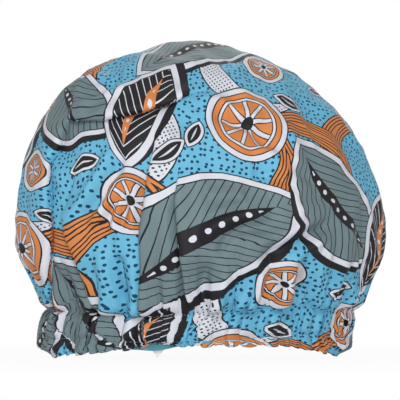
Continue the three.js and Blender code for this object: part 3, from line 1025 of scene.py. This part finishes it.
def elastic_strip(name, material):
    """One ribbed strip, wound once round the hem with its ends lapped at the middle of the back."""
    lap = ELASTIC_LAP / NECK_HALF_WIDTH
    turned = np.linspace(0.0, 2 * math.pi + lap, ELASTIC_STEPS + 1)
    angle = math.pi / 2 - lap / 2 + turned
    inner = -ELASTIC_INSET + ELASTIC_SPIRAL * np.minimum(turned / (2 * math.pi), 1.0)
    across = np.linspace(0.0, 1.0, ELASTIC_RIBS * ELASTIC_RIB_POINTS + 1)
    bulge = ELASTIC_RIB_DEPTH * np.abs(np.sin(across * ELASTIC_RIBS * math.pi))
    outside = np.stack([ELASTIC_THICKNESS - ELASTIC_RIB_DEPTH + bulge, across], axis=1)
    inside = np.stack([ELASTIC_RIB_DEPTH - bulge, across], axis=1)[::-1]
    profile = np.vstack([outside, inside])
    offset = inner[:, None] + profile[None, :, 0]
    share = np.repeat(profile[None, :, 1], ELASTIC_STEPS + 1, axis=0)
    z = ELASTIC_BOTTOM + (ELASTIC_TOP - ELASTIC_BOTTOM) * share
    x = lean_at(z) + (NECK_HALF_WIDTH + offset) * np.cos(angle)[:, None]
    y = (NECK_HALF_DEPTH + offset) * np.sin(angle)[:, None]
    points = np.stack([x, y, z + band_lift(x, y)], axis=2)
    count = len(profile)
    faces = []
    for i in range(ELASTIC_STEPS):
        low = i * count
        for k in range(count):
            follow = (k + 1) % count
            faces.append((low + k, low + count + k, low + count + follow, low + follow))
    end = ELASTIC_STEPS * count
    faces.append(tuple(range(count)))
    faces.append(tuple(range(end + count - 1, end - 1, -1)))
    return new_piece(name, points.reshape(-1, 3) * MM, faces, material)


ZIGZAG_TURNS = 4
ZIGZAG_LENGTH = 10.0
ZIGZAG_HEIGHT = 8.0
# Distance of the zigzag's threads inside the neck's outline
ZIGZAG_INSET = 4.8


def join_zigzag():
    """Points of the zigzag stitches that close the elastic's lap, on its inner face."""
    middle = (ELASTIC_BOTTOM + ELASTIC_TOP) / 2
    line = []
    for k in range(2 * ZIGZAG_TURNS + 1):
        along = (k / (2 * ZIGZAG_TURNS) - 0.5) * ZIGZAG_LENGTH
        z = middle + ZIGZAG_HEIGHT / 2 * (1 if k % 2 else -1)
        line.append((lean_at(z) - along, NECK_HALF_DEPTH - ZIGZAG_INSET, z))
    return np.array(line)


class LabelPlace:
    """The label's own directions, from its hinge: along its sewn edge and inwards, in millimetres."""

    def __init__(self):
        flap = next(j for j in frame["joints"] if j["name"] == "label_flap")
        self.hinge = np.array(flap["pos_m"]) / MM
        self.along = np.array(flap["axis"])
        self.inward = np.cross((0.0, 0.0, 1.0), self.along)

    def at(self, along, inward, down):
        """Points from distances along the sewn edge, inwards from the label's outer face and down."""
        along, inward, down = np.broadcast_arrays(along, inward, down)
        place = self.hinge + along[..., None] * self.along
        place = place + (inward - LABEL_THICKNESS)[..., None] * self.inward
        place[..., 2] -= down
        return place


# The label's plies: their thickness, the room between them and the label's outer faces, and their mesh
LABEL_PLY = 0.24
LABEL_SKIN = 0.12
LABEL_COLUMNS = 20
LABEL_ROWS = 28
# Share of the width that is left at the tip, and how far the tip and the edges curl
LABEL_TIP_SHARE = 0.04
LABEL_TIP_CURL = 0.9
LABEL_EDGE_CURL = 0.25


def ribbon_label(name, place, material):
    """A blank ribbon folded to a point: two plies that meet at the fold."""
    share = np.linspace(0.0, 1.0, LABEL_ROWS + 1)[:, None]
    across = np.linspace(-1.0, 1.0, LABEL_COLUMNS + 1)[None, :]
    down = share * LABEL_LENGTH
    taper = np.clip((LABEL_LENGTH - down) / LABEL_POINT, LABEL_TIP_SHARE, 1.0)
    along = across * (LABEL_WIDTH / 2 * taper)
    down = np.broadcast_to(down, along.shape)
    curl = -LABEL_TIP_CURL * share**3 + LABEL_EDGE_CURL * across**2 * share
    outer_ply = (LABEL_SKIN, -LABEL_SKIN)
    inner_ply = (LABEL_THICKNESS - LABEL_SKIN - LABEL_PLY, 0.0)
    plies = []
    faces = []
    for depth, spread in (outer_ply, inner_ply):
        first = len(plies) * along.size
        ease = depth + spread * share * (1.0 - share)
        plies.append(place.at(along, ease + curl, down).reshape(-1, 3) * MM)
        for j in range(LABEL_ROWS):
            low = first + j * (LABEL_COLUMNS + 1)
            high = low + LABEL_COLUMNS + 1
            faces.extend((low + i, high + i, high + i + 1, low + i + 1) for i in range(LABEL_COLUMNS))
    flat = np.stack([along, down], axis=2).reshape(-1, 2) * MM
    piece = new_piece(name, np.vstack(plies), faces, material, np.vstack([flat, flat]))
    thicken(piece, LABEL_PLY, -1.0)
    return piece


# Materials

# The sockets of a Mix node that hold its two colours and their mix
MIX_BELOW = 6
MIX_ABOVE = 7
MIX_RESULT = 2


class Inks:
    """Short ways to add the maths of a pattern to a material."""

    def __init__(self, tree):
        self.tree = tree

    def join(self, value, socket):
        if isinstance(value, bpy.types.NodeSocket):
            self.tree.links.new(value, socket)
        else:
            socket.default_value = value

    def calc(self, operation, *values):
        node = self.tree.nodes.new("ShaderNodeMath")
        node.operation = operation
        for value, socket in zip(values, node.inputs):
            self.join(value, socket)
        return node.outputs[0]

    def length(self, x, y):
        pair = self.tree.nodes.new("ShaderNodeCombineXYZ")
        self.join(x, pair.inputs[0])
        self.join(y, pair.inputs[1])
        size = self.tree.nodes.new("ShaderNodeVectorMath")
        size.operation = "LENGTH"
        self.tree.links.new(pair.outputs[0], size.inputs[0])
        return size.outputs["Value"]

    def turned(self, x, y, degrees):
        turn = math.radians(degrees)
        part = self.calc("MULTIPLY", y, math.sin(turn))
        new_x = self.calc("MULTIPLY_ADD", x, math.cos(turn), part)
        part = self.calc("MULTIPLY", x, -math.sin(turn))
        new_y = self.calc("MULTIPLY_ADD", y, math.cos(turn), part)
        return new_x, new_y

    def over(self, below, mask, colour):
        """Lays a colour over the one below where the mask is 1."""
        mix = self.tree.nodes.new("ShaderNodeMix")
        mix.data_type = "RGBA"
        self.join(mask, mix.inputs["Factor"])
        self.join(below, mix.inputs[MIX_BELOW])
        self.join(colour, mix.inputs[MIX_ABOVE])
        return mix.outputs[MIX_RESULT]


def ink(red, green, blue):
    """A colour written as it looks on screen, from 0 to 255, turned to light by the screen's usual curve."""

    def linear(value):
        share = value / 255
        return share / 12.92 if share <= 0.04045 else ((share + 0.055) / 1.055) ** 2.4

    return (linear(red), linear(green), linear(blue), 1.0)


SKY = ink(102, 174, 204)
NAVY = ink(14, 62, 92)
SAGE = ink(106, 124, 128)
LINE = ink(24, 29, 34)
APRICOT = ink(205, 127, 71)
BLACK = ink(23, 22, 26)
CHALK = ink(206, 208, 216)

# The repeat of the print, in millimetres; every other column drops by half a repeat
REPEAT_ACROSS = 176.0
REPEAT_UP = 152.0

# Dots of the ground: their pitch in millimetres, their scatter and their size, as shares of the pitch
GROUND_PITCH = 3.7
GROUND_SCATTER = 0.62
GROUND_DOT = 0.235
# Crescents: share of the radius that their hollow has, their outline, dots and lines
BOW_HOLLOW = 0.94
BOW_OUTLINE = 0.9
BOW_DOT_PITCH = 2.3
BOW_DOT = 0.55
BOW_DOT_MARGIN = 1.2
BOW_LINES = (-1.8, -4.0, -6.2)
BOW_LINE = 0.4
# Leaves: their shadow, their border from the outside in, their veins and their beaded rib
LEAF_SHADOW_SHIFT = (2.5, 4.0)
LEAF_SHADOW = 4.2
LEAF_OUTLINE = 4.8
LEAF_BORDER = 4.0
LEAF_LINE = 0.4
VEIN_SLANT = 1.15
VEIN_PITCH = 6.2
VEIN = 0.42
RIB_LENGTH = 0.8
RIB_WIDTH = 0.19
BEAD_PITCH = 6.8
BEAD = 1.5
BEAD_MARGIN = 1.6
# Slices: their turn, their border outside the rind, the shares of the radius of their rings, and their walls
SLICE_TURN = 10.0
SLICE_OUTLINE = 4.6
SLICE_BORDER = 3.8
SLICE_LINE = 0.7
PITH = 0.86
FLESH = 0.76
FLESH_LINE = 0.6
WALL_LINE = 1.5
WALL = 0.95
CORE = 0.16
# Seeds: their border, and their width and groove as shares of half their length
SEED_OUTLINE = 2.2
SEED_BORDER = 1.5
SEED_WIDTH = 0.42
GROOVE_LENGTH = 0.7
GROOVE_WIDTH = 0.07

# Motifs of one repeat: each starts with its place across and up, and ends with its inks if they differ
BOWS = (
    # Turn, radius and width
    (44, -44, 30, 36, 13, CHALK),
    (-44, 48, 205, 38, 13, CHALK),
    (20, 36, 120, 42, 15, APRICOT),
    (-52, -30, -25, 40, 15, APRICOT),
    (72, 40, 250, 36, 14, APRICOT),
)
LEAVES = (
    # Turn, half length, half width, bend, then the inks of blade and veins
    (8, -6, 32, 54, 28, 0.003, SAGE, LINE),
    (90, 12, -50, 46, 25, -0.004, SAGE, LINE),
    (-34, 74, 68, 38, 18, 0.005, BLACK, CHALK),
)
SLICES = (
    # Radius and number of segments
    (34, 64, 21, 9),
    (-42, 14, 14, 8),
    (56, -34, 12, 8),
)
SEEDS = (
    # Turn and half length
    (-12, 40, 40, 9.0),
    (2, 52, 70, 8.0),
    (66, 84, -20, 9.0),
    (-70, 36, 10, 9.0),
)


class LeafPrint:
    """A print of leaves, citrus slices, seeds and crescents in flat inks on a dotted ground."""

    def __init__(self, inks, flat):
        self.inks = inks
        parts = inks.tree.nodes.new("ShaderNodeSeparateXYZ")
        inks.tree.links.new(flat, parts.inputs[0])
        self.across = inks.calc("MULTIPLY", parts.outputs[0], 1 / MM)
        self.up = inks.calc("MULTIPLY", parts.outputs[1], 1 / MM)
        self.colour = SKY

    def place(self, x, y, degrees):
        """Local coordinates of a motif that sits at x, y in the repeat."""
        calc = self.inks.calc
        from_x = calc("SUBTRACT", self.across, x)
        local_x = self.wrapped(from_x, REPEAT_ACROSS)
        column = calc("SUBTRACT", from_x, local_x)
        from_y = calc("SUBTRACT", self.up, y)
        drop = calc("MULTIPLY_ADD", column, -REPEAT_UP / (2 * REPEAT_ACROSS), from_y)
        return self.inks.turned(local_x, self.wrapped(drop, REPEAT_UP), degrees)

    def wrapped(self, value, pitch):
        """Distance to the middle of the nearest of many cells."""
        return self.inks.calc("WRAP", value, pitch / 2, -pitch / 2)

    def within(self, distance, edge):
        return self.inks.calc("LESS_THAN", distance, edge)

    def both(self, one, other):
        return self.inks.calc("MULTIPLY", one, other)

    def lay(self, mask, colour):
        self.colour = self.inks.over(self.colour, mask, colour)

    def bands(self, distance, *steps):
        """Lays inks over each other, each within its own distance."""
        for edge, colour in steps:
            self.lay(self.within(distance, edge), colour)

    def ground(self, flat):
        dots = self.inks.tree.nodes.new("ShaderNodeTexVoronoi")
        dots.voronoi_dimensions = "2D"
        dots.inputs["Scale"].default_value = 1 / (GROUND_PITCH * MM)
        dots.inputs["Randomness"].default_value = GROUND_SCATTER
        self.inks.tree.links.new(flat, dots.inputs["Vector"])
        self.bands(dots.outputs["Distance"], (GROUND_DOT, NAVY))

    def bow(self, x, y, degrees, radius, width, fill):
        """A crescent: dotted where it is white, lined where it isn't."""
        calc = self.inks.calc
        local_x, local_y = self.place(x, y, degrees)
        outer = calc("SUBTRACT", self.inks.length(local_x, local_y), radius)
        from_hollow = calc("SUBTRACT", local_x, width)
        inner = calc("SUBTRACT", radius * BOW_HOLLOW, self.inks.length(from_hollow, local_y))
        edge = calc("MAXIMUM", outer, inner)
        self.bands(edge, (BOW_OUTLINE, LINE), (0.0, fill))
        if fill == CHALK:
            dot_x = self.wrapped(local_x, BOW_DOT_PITCH)
            dot_y = self.wrapped(local_y, BOW_DOT_PITCH)
            dots = self.within(self.inks.length(dot_x, dot_y), BOW_DOT)
            self.lay(self.both(dots, self.within(edge, -BOW_DOT_MARGIN)), LINE)
        else:
            for depth in BOW_LINES:
                self.lay(calc("COMPARE", edge, depth, BOW_LINE), LINE)

    def leaf_edge(self, x, y, half_length, half_width):
        """Distance to the edge of a pointed leaf, below 0 inside it."""
        calc = self.inks.calc
        arc = (half_length**2 + half_width**2) / (2 * half_width)
        folded = calc("ADD", calc("ABSOLUTE", y), arc - half_width)
        return calc("SUBTRACT", self.inks.length(x, folded), arc)

    def leaf(self, x, y, degrees, half_length, half_width, bend, fill, vein):
        """A pointed leaf with a pale border, a dark shadow, veins and a beaded rib."""
        calc = self.inks.calc
        local_x, straight_y = self.place(x, y, degrees)
        local_y = calc("MULTIPLY_ADD", calc("MULTIPLY", local_x, local_x), bend, straight_y)
        shadow_x = calc("SUBTRACT", local_x, LEAF_SHADOW_SHIFT[0])
        shadow_y = calc("ADD", local_y, LEAF_SHADOW_SHIFT[1])
        shadow = self.leaf_edge(shadow_x, shadow_y, half_length, half_width)
        self.bands(shadow, (LEAF_SHADOW, BLACK))
        edge = self.leaf_edge(local_x, local_y, half_length, half_width)
        self.bands(edge, (LEAF_OUTLINE, LINE), (LEAF_BORDER, CHALK), (LEAF_LINE, LINE), (-LEAF_LINE, fill))
        slant = calc("MULTIPLY_ADD", calc("ABSOLUTE", local_y), -VEIN_SLANT, local_x)
        veins = self.within(calc("ABSOLUTE", self.wrapped(slant, VEIN_PITCH)), VEIN)
        self.lay(self.both(veins, self.within(edge, -LEAF_LINE)), vein)
        rib = self.leaf_edge(local_x, local_y, half_length * RIB_LENGTH, half_width * RIB_WIDTH)
        self.bands(rib, (0.0, APRICOT if fill == BLACK else BLACK))
        beads = self.within(self.inks.length(self.wrapped(local_x, BEAD_PITCH), local_y), BEAD)
        self.lay(self.both(beads, self.within(rib, -BEAD_MARGIN)), CHALK)

    def slice(self, x, y, radius, segments):
        """A round slice of citrus with a pale border."""
        calc = self.inks.calc
        local_x, local_y = self.place(x, y, SLICE_TURN)
        centre = self.inks.length(local_x, local_y)
        bearing = calc("ARCTAN2", local_y, local_x)
        flesh_edge = radius * FLESH - FLESH_LINE
        self.bands(
            centre,
            (radius + SLICE_OUTLINE, LINE),
            (radius + SLICE_BORDER, CHALK),
            (radius + SLICE_LINE, LINE),
            (radius, APRICOT),
            (radius * PITH, LINE),
            (radius * PITH - SLICE_LINE, CHALK),
            (radius * FLESH, LINE),
            (flesh_edge, APRICOT),
        )
        turn = self.wrapped(bearing, 2 * math.pi / segments)
        aside = calc("MULTIPLY", centre, calc("ABSOLUTE", turn))
        flesh = self.within(centre, flesh_edge)
        self.lay(self.both(self.within(aside, WALL_LINE), flesh), LINE)
        self.lay(self.both(self.within(aside, WALL), flesh), CHALK)
        self.bands(centre, (radius * CORE, BLACK))

    def seed(self, x, y, degrees, half_length):
        """A dark seed with a pale border and a pale groove."""
        local_x, local_y = self.place(x, y, degrees)
        edge = self.leaf_edge(local_x, local_y, half_length, half_length * SEED_WIDTH)
        self.bands(edge, (SEED_OUTLINE, LINE), (SEED_BORDER, CHALK), (0.0, BLACK))
        groove = self.leaf_edge(local_x, local_y, half_length * GROOVE_LENGTH, half_length * GROOVE_WIDTH)
        self.bands(groove, (0.0, CHALK))


def new_material(name):
    material = bpy.data.materials.new(name)
    material.use_nodes = True
    return material, material.node_tree.nodes["Principled BSDF"], Inks(material.node_tree)


def set_inputs(node, **values):
    """Sets a node's inputs by their names, with _ for each space."""
    for name, value in values.items():
        node.inputs[name.replace("_", " ")].default_value = value


def on_cut(inks):
    """The place on a piece's own flat cut."""
    place = inks.tree.nodes.new("ShaderNodeUVMap")
    place.uv_map = "cut"
    return place.outputs[0]


def printed_cotton():
    material, shader, inks = new_material("printed_cotton")
    cut = on_cut(inks)
    design = LeafPrint(inks, cut)
    design.ground(cut)
    for bow in BOWS:
        design.bow(*bow)
    for leaf in LEAVES:
        design.leaf(*leaf)
    for citrus in SLICES:
        design.slice(*citrus)
    for seed in SEEDS:
        design.seed(*seed)
    inks.tree.links.new(design.colour, shader.inputs["Base Color"])
    set_inputs(shader, Roughness=0.58, Specular_IOR_Level=0.2, Sheen_Weight=0.02, Sheen_Roughness=0.4)
    weave_bump(inks, cut, shader, pitch=0.45, strength=0.12)
    return material


WEAVE_DEPTH = 0.2


def weave_bump(inks, flat, shader, pitch, strength):
    """Fine plain weave on a flat cut or in space; pitch in millimetres."""
    tree = inks.tree
    parts = tree.nodes.new("ShaderNodeSeparateXYZ")
    tree.links.new(flat, parts.inputs[0])
    turns = 2 * math.pi / (pitch * MM)
    warp = inks.calc("SINE", inks.calc("MULTIPLY", parts.outputs[0], turns))
    weft = inks.calc("SINE", inks.calc("MULTIPLY", parts.outputs[1], turns))
    bump = tree.nodes.new("ShaderNodeBump")
    set_inputs(bump, Strength=strength, Distance=WEAVE_DEPTH * MM)
    tree.links.new(inks.calc("MULTIPLY", warp, weft), bump.inputs["Height"])
    tree.links.new(bump.outputs[0], shader.inputs["Normal"])


def plain_cloth(name, light, dark, roughness, sheen, pitch, has_cut=True):
    """Cloth of one dye with a faint uneven tone and a fine weave, on its flat cut or in space."""
    material, shader, inks = new_material(name)
    if has_cut:
        spot = on_cut(inks)
    else:
        spot = inks.tree.nodes.new("ShaderNodeTexCoord").outputs["Object"]
    cloud = inks.tree.nodes.new("ShaderNodeTexNoise")
    set_inputs(cloud, Scale=60.0, Detail=4.0)
    inks.tree.links.new(spot, cloud.inputs["Vector"])
    inks.tree.links.new(inks.over(light, cloud.outputs["Fac"], dark), shader.inputs["Base Color"])
    set_inputs(shader, Roughness=roughness, Sheen_Weight=sheen)
    weave_bump(inks, spot, shader, pitch, strength=0.15)
    return material


# Set: white floor and backdrop, soft studio light, camera

# Strength of the white surroundings as a light, and glow of the floor, seen directly and at its least
SOFT_LIGHT = 0.3
FLOOR_GLOW = 0.95
TABLE_GLOW = 0.4
# Half size and height of the floor, and the distances between which its shadow fades to white, in metres
FLOOR_HALF = 1.2
FLOOR_Z = -0.0003
SHADOW_REACH = (0.13, 0.36)
# Lamps: place and size in metres, and power in watts
LAMPS = (
    ("key", (-0.05, -1.4, 1.0), 0.35, 8.5),
    ("front", (0.15, -1.7, 0.12), 0.5, 12.4),
    ("fill", (-1.3, -0.7, 0.5), 0.8, 2.5),
    ("back", (0.1, 1.2, 1.1), 1.0, 6.0),
)
LAMP_AIM = Vector((0.0, 0.0, 0.09))
# Camera: a long lens from the front, level with the bonnet; the frame is square, in metres
CAMERA_DISTANCE = 4.0
CAMERA_RISE = math.radians(0.5)
CAMERA_AIM = Vector((0.0, 0.0, 0.0973))
FRAME_WIDTH = 0.248
SENSOR_WIDTH = 36.0
CLIP_END = 20.0


def seen_directly(inks):
    """1 for rays that show the background itself: from the camera, through glass or off a gloss."""
    path = inks.tree.nodes.new("ShaderNodeLightPath")
    seen = inks.calc("MAXIMUM", path.outputs["Is Camera Ray"], path.outputs["Is Transmission Ray"])
    return inks.calc("MAXIMUM", seen, path.outputs["Is Glossy Ray"])


def white_surroundings():
    world = bpy.data.worlds.new("studio")
    bpy.context.scene.world = world
    world.use_nodes = True
    sky = world.node_tree.nodes["Background"]
    sky.inputs["Color"].default_value = (1.0, 1.0, 1.0, 1.0)
    inks = Inks(world.node_tree)
    level = inks.calc("MULTIPLY_ADD", seen_directly(inks), 1.0 - SOFT_LIGHT, SOFT_LIGHT)
    inks.tree.links.new(level, sky.inputs["Strength"])


def white_paper():
    """Paper that glows where it is seen directly, apart from round the object, and is clear from below."""
    paper, shader, inks = new_material("white_paper")
    tree = inks.tree
    set_inputs(shader, Base_Color=(0.85, 0.85, 0.85, 1.0), Roughness=0.9, Specular_IOR_Level=0.0)
    glow = tree.nodes.new("ShaderNodeEmission")
    mix = tree.nodes.new("ShaderNodeMixShader")
    spot = tree.nodes.new("ShaderNodeTexCoord")
    away = tree.nodes.new("ShaderNodeVectorMath")
    away.operation = "LENGTH"
    tree.links.new(spot.outputs["Object"], away.inputs[0])
    fade = tree.nodes.new("ShaderNodeMapRange")
    fade.interpolation_type = "SMOOTHSTEP"
    set_inputs(fade, From_Min=SHADOW_REACH[0], From_Max=SHADOW_REACH[1], To_Min=FLOOR_GLOW)
    tree.links.new(away.outputs["Value"], fade.inputs["Value"])
    bright = inks.calc("MULTIPLY", seen_directly(inks), fade.outputs["Result"])
    tree.links.new(inks.calc("MAXIMUM", bright, TABLE_GLOW), mix.inputs[0])
    tree.links.new(shader.outputs[0], mix.inputs[1])
    tree.links.new(glow.outputs[0], mix.inputs[2])
    facing = tree.nodes.new("ShaderNodeNewGeometry")
    clear = tree.nodes.new("ShaderNodeBsdfTransparent")
    one_sided = tree.nodes.new("ShaderNodeMixShader")
    tree.links.new(facing.outputs["Backfacing"], one_sided.inputs[0])
    tree.links.new(mix.outputs[0], one_sided.inputs[1])
    tree.links.new(clear.outputs[0], one_sided.inputs[2])
    tree.links.new(one_sided.outputs[0], tree.nodes["Material Output"].inputs["Surface"])
    return paper


def white_floor():
    corners = ((-1, -1), (1, -1), (1, 1), (-1, 1))
    mesh = bpy.data.meshes.new("floor")
    mesh.from_pydata([(x * FLOOR_HALF, y * FLOOR_HALF, FLOOR_Z) for x, y in corners], [], [(0, 1, 2, 3)])
    floor = new_object("floor", mesh)
    mesh.materials.append(white_paper())


def aim_at(holder, place, target):
    """Puts a lamp or the camera in its place and turns it to its target."""
    holder.location = place
    holder.rotation_euler = (target - holder.location).to_track_quat("-Z", "Y").to_euler()


def studio_lamps():
    for name, place, size, power in LAMPS:
        lamp = bpy.data.lights.new(name, "AREA")
        lamp.shape = "DISK"
        lamp.size = size
        lamp.energy = power
        aim_at(new_object(name, lamp), place, LAMP_AIM)


def photo_camera():
    lens = bpy.data.cameras.new("camera")
    lens.sensor_width = SENSOR_WIDTH
    lens.lens = SENSOR_WIDTH * CAMERA_DISTANCE / FRAME_WIDTH
    lens.clip_end = CLIP_END
    holder = new_object("camera", lens)
    back = Vector((0.0, -CAMERA_DISTANCE * math.cos(CAMERA_RISE), CAMERA_DISTANCE * math.sin(CAMERA_RISE)))
    aim_at(holder, CAMERA_AIM + back, CAMERA_AIM)
    bpy.context.scene.camera = holder


# Assembly

# How far the threads stand out of the cloth, and the row that the seams start from
OUTER_THREAD_LIFT = 0.02
INNER_THREAD_LIFT = -0.12
SEAM_THREAD_LIFT = 0.1
SEAM_FIRST_ROW = 3
# Height of the hem's stitches, before the heading is spread down to the hem edge
HEM_STITCH_Z = 2.6
# The tack thread: how far it passes the label on each side, and its place on the label's sewn edge
TACK_OVERHANG = 1.5
TACK_POINTS = 12
TACK_INWARD = 0.3
TACK_DOWN = -0.5


def dress(piece, body, slot, *nodes):
    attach(piece, body)
    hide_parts(*nodes)
    return piece


def sew(name, node, stitch, *lines):
    dress(sewn_line(name, lines, stitch, thread), "bonnet", "thread", node)


bpy.context.scene.view_settings.view_transform = "Standard"
photo_camera()
white_surroundings()
white_floor()
studio_lamps()
STITCHES, STITCH_INPUTS = stitch_tree()

cotton = printed_cotton()
satin = plain_cloth(
    "teal_satin", ink(76, 160, 174), ink(60, 142, 158),
    roughness=0.36, sheen=0.15, pitch=0.4,
)
thread = plain_cloth(
    "blue_thread", ink(66, 132, 160), ink(44, 104, 134),
    roughness=0.6, sheen=0.3, pitch=0.5, has_cut=False,
)
web = plain_cloth(
    "elastic_web", ink(240, 239, 233), ink(214, 212, 204),
    roughness=0.8, sheen=0.2, pitch=0.7, has_cut=False,
)
ribbon = plain_cloth(
    "white_ribbon", ink(238, 239, 244), ink(220, 221, 229),
    roughness=0.42, sheen=0.2, pitch=0.35,
)

printed = {front: printed_cloth(front) for front in (True, False)}
lined = {front: satin_cloth(front) for front in (True, False)}

elastic = dress(elastic_strip("ribbed_elastic", web), "bonnet", "elastic_web", "elastic_band")

for front, side in ((True, "front"), (False, "back")):
    panel = cloth_piece(f"printed_{side}", printed[front], OUTER_CLOTH, -1.0, cotton)
    dress(panel, "bonnet", "printed_cloth", f"outer_{side}_panel")
    lining = cloth_piece(f"satin_{side}", lined[front], LINING_CLOTH, 1.0, satin)
    dress(lining, "bonnet", "satin_lining", f"lining_{side}_panel")

outer_front, outer_back = printed[True][0], printed[False][0]
inner_front, inner_back = lined[True][0], lined[False][0]

# Rows of stitches through both layers: seen outside on the print and inside on the lining
for name, node, height in (
    ("upper_stitches", "upper_casing_stitch", UPPER_STITCH_Z),
    ("lower_stitches", "lower_casing_stitch", LOWER_STITCH_Z),
    ("hem_stitches", "hem_edge_stitch", HEM_STITCH_Z),
):
    outer_row = height / UPPER_STITCH_Z * OUTER_ROWS[0]
    inner_row = height / UPPER_STITCH_Z * LINING_ROWS[0]
    outside = cloth_ring(outer_front, outer_back, outer_row, OUTER_THREAD_LIFT)
    inside = cloth_ring(inner_front, inner_back, inner_row, INNER_THREAD_LIFT)
    sew(name, node, CASING_STITCH, (outside, True), (inside, True))

crown_line = seam_line(outer_front, -SEAM_THREAD_LIFT, SEAM_FIRST_ROW)
sew("crown_seam", "outer_seam_thread", SEAM_STITCH, (crown_line, False))
lining_line = seam_line(inner_front, SEAM_THREAD_LIFT, SEAM_FIRST_ROW)
sew("lining_seam", "lining_seam_thread", SEAM_STITCH, (lining_line, False))
sew("elastic_zigzag", "elastic_join_stitch", ZIGZAG_STITCH, (join_zigzag(), False))

label_place = LabelPlace()
label = dress(ribbon_label("ribbon_label", label_place, ribbon), "label", "label_ribbon", "care_label")
tack_half = LABEL_WIDTH / 2 + TACK_OVERHANG
tack_line = label_place.at(np.linspace(-tack_half, tack_half, TACK_POINTS), TACK_INWARD, TACK_DOWN)
sew("label_tack", "label_tack_thread", TACK_STITCH, (tack_line, False))
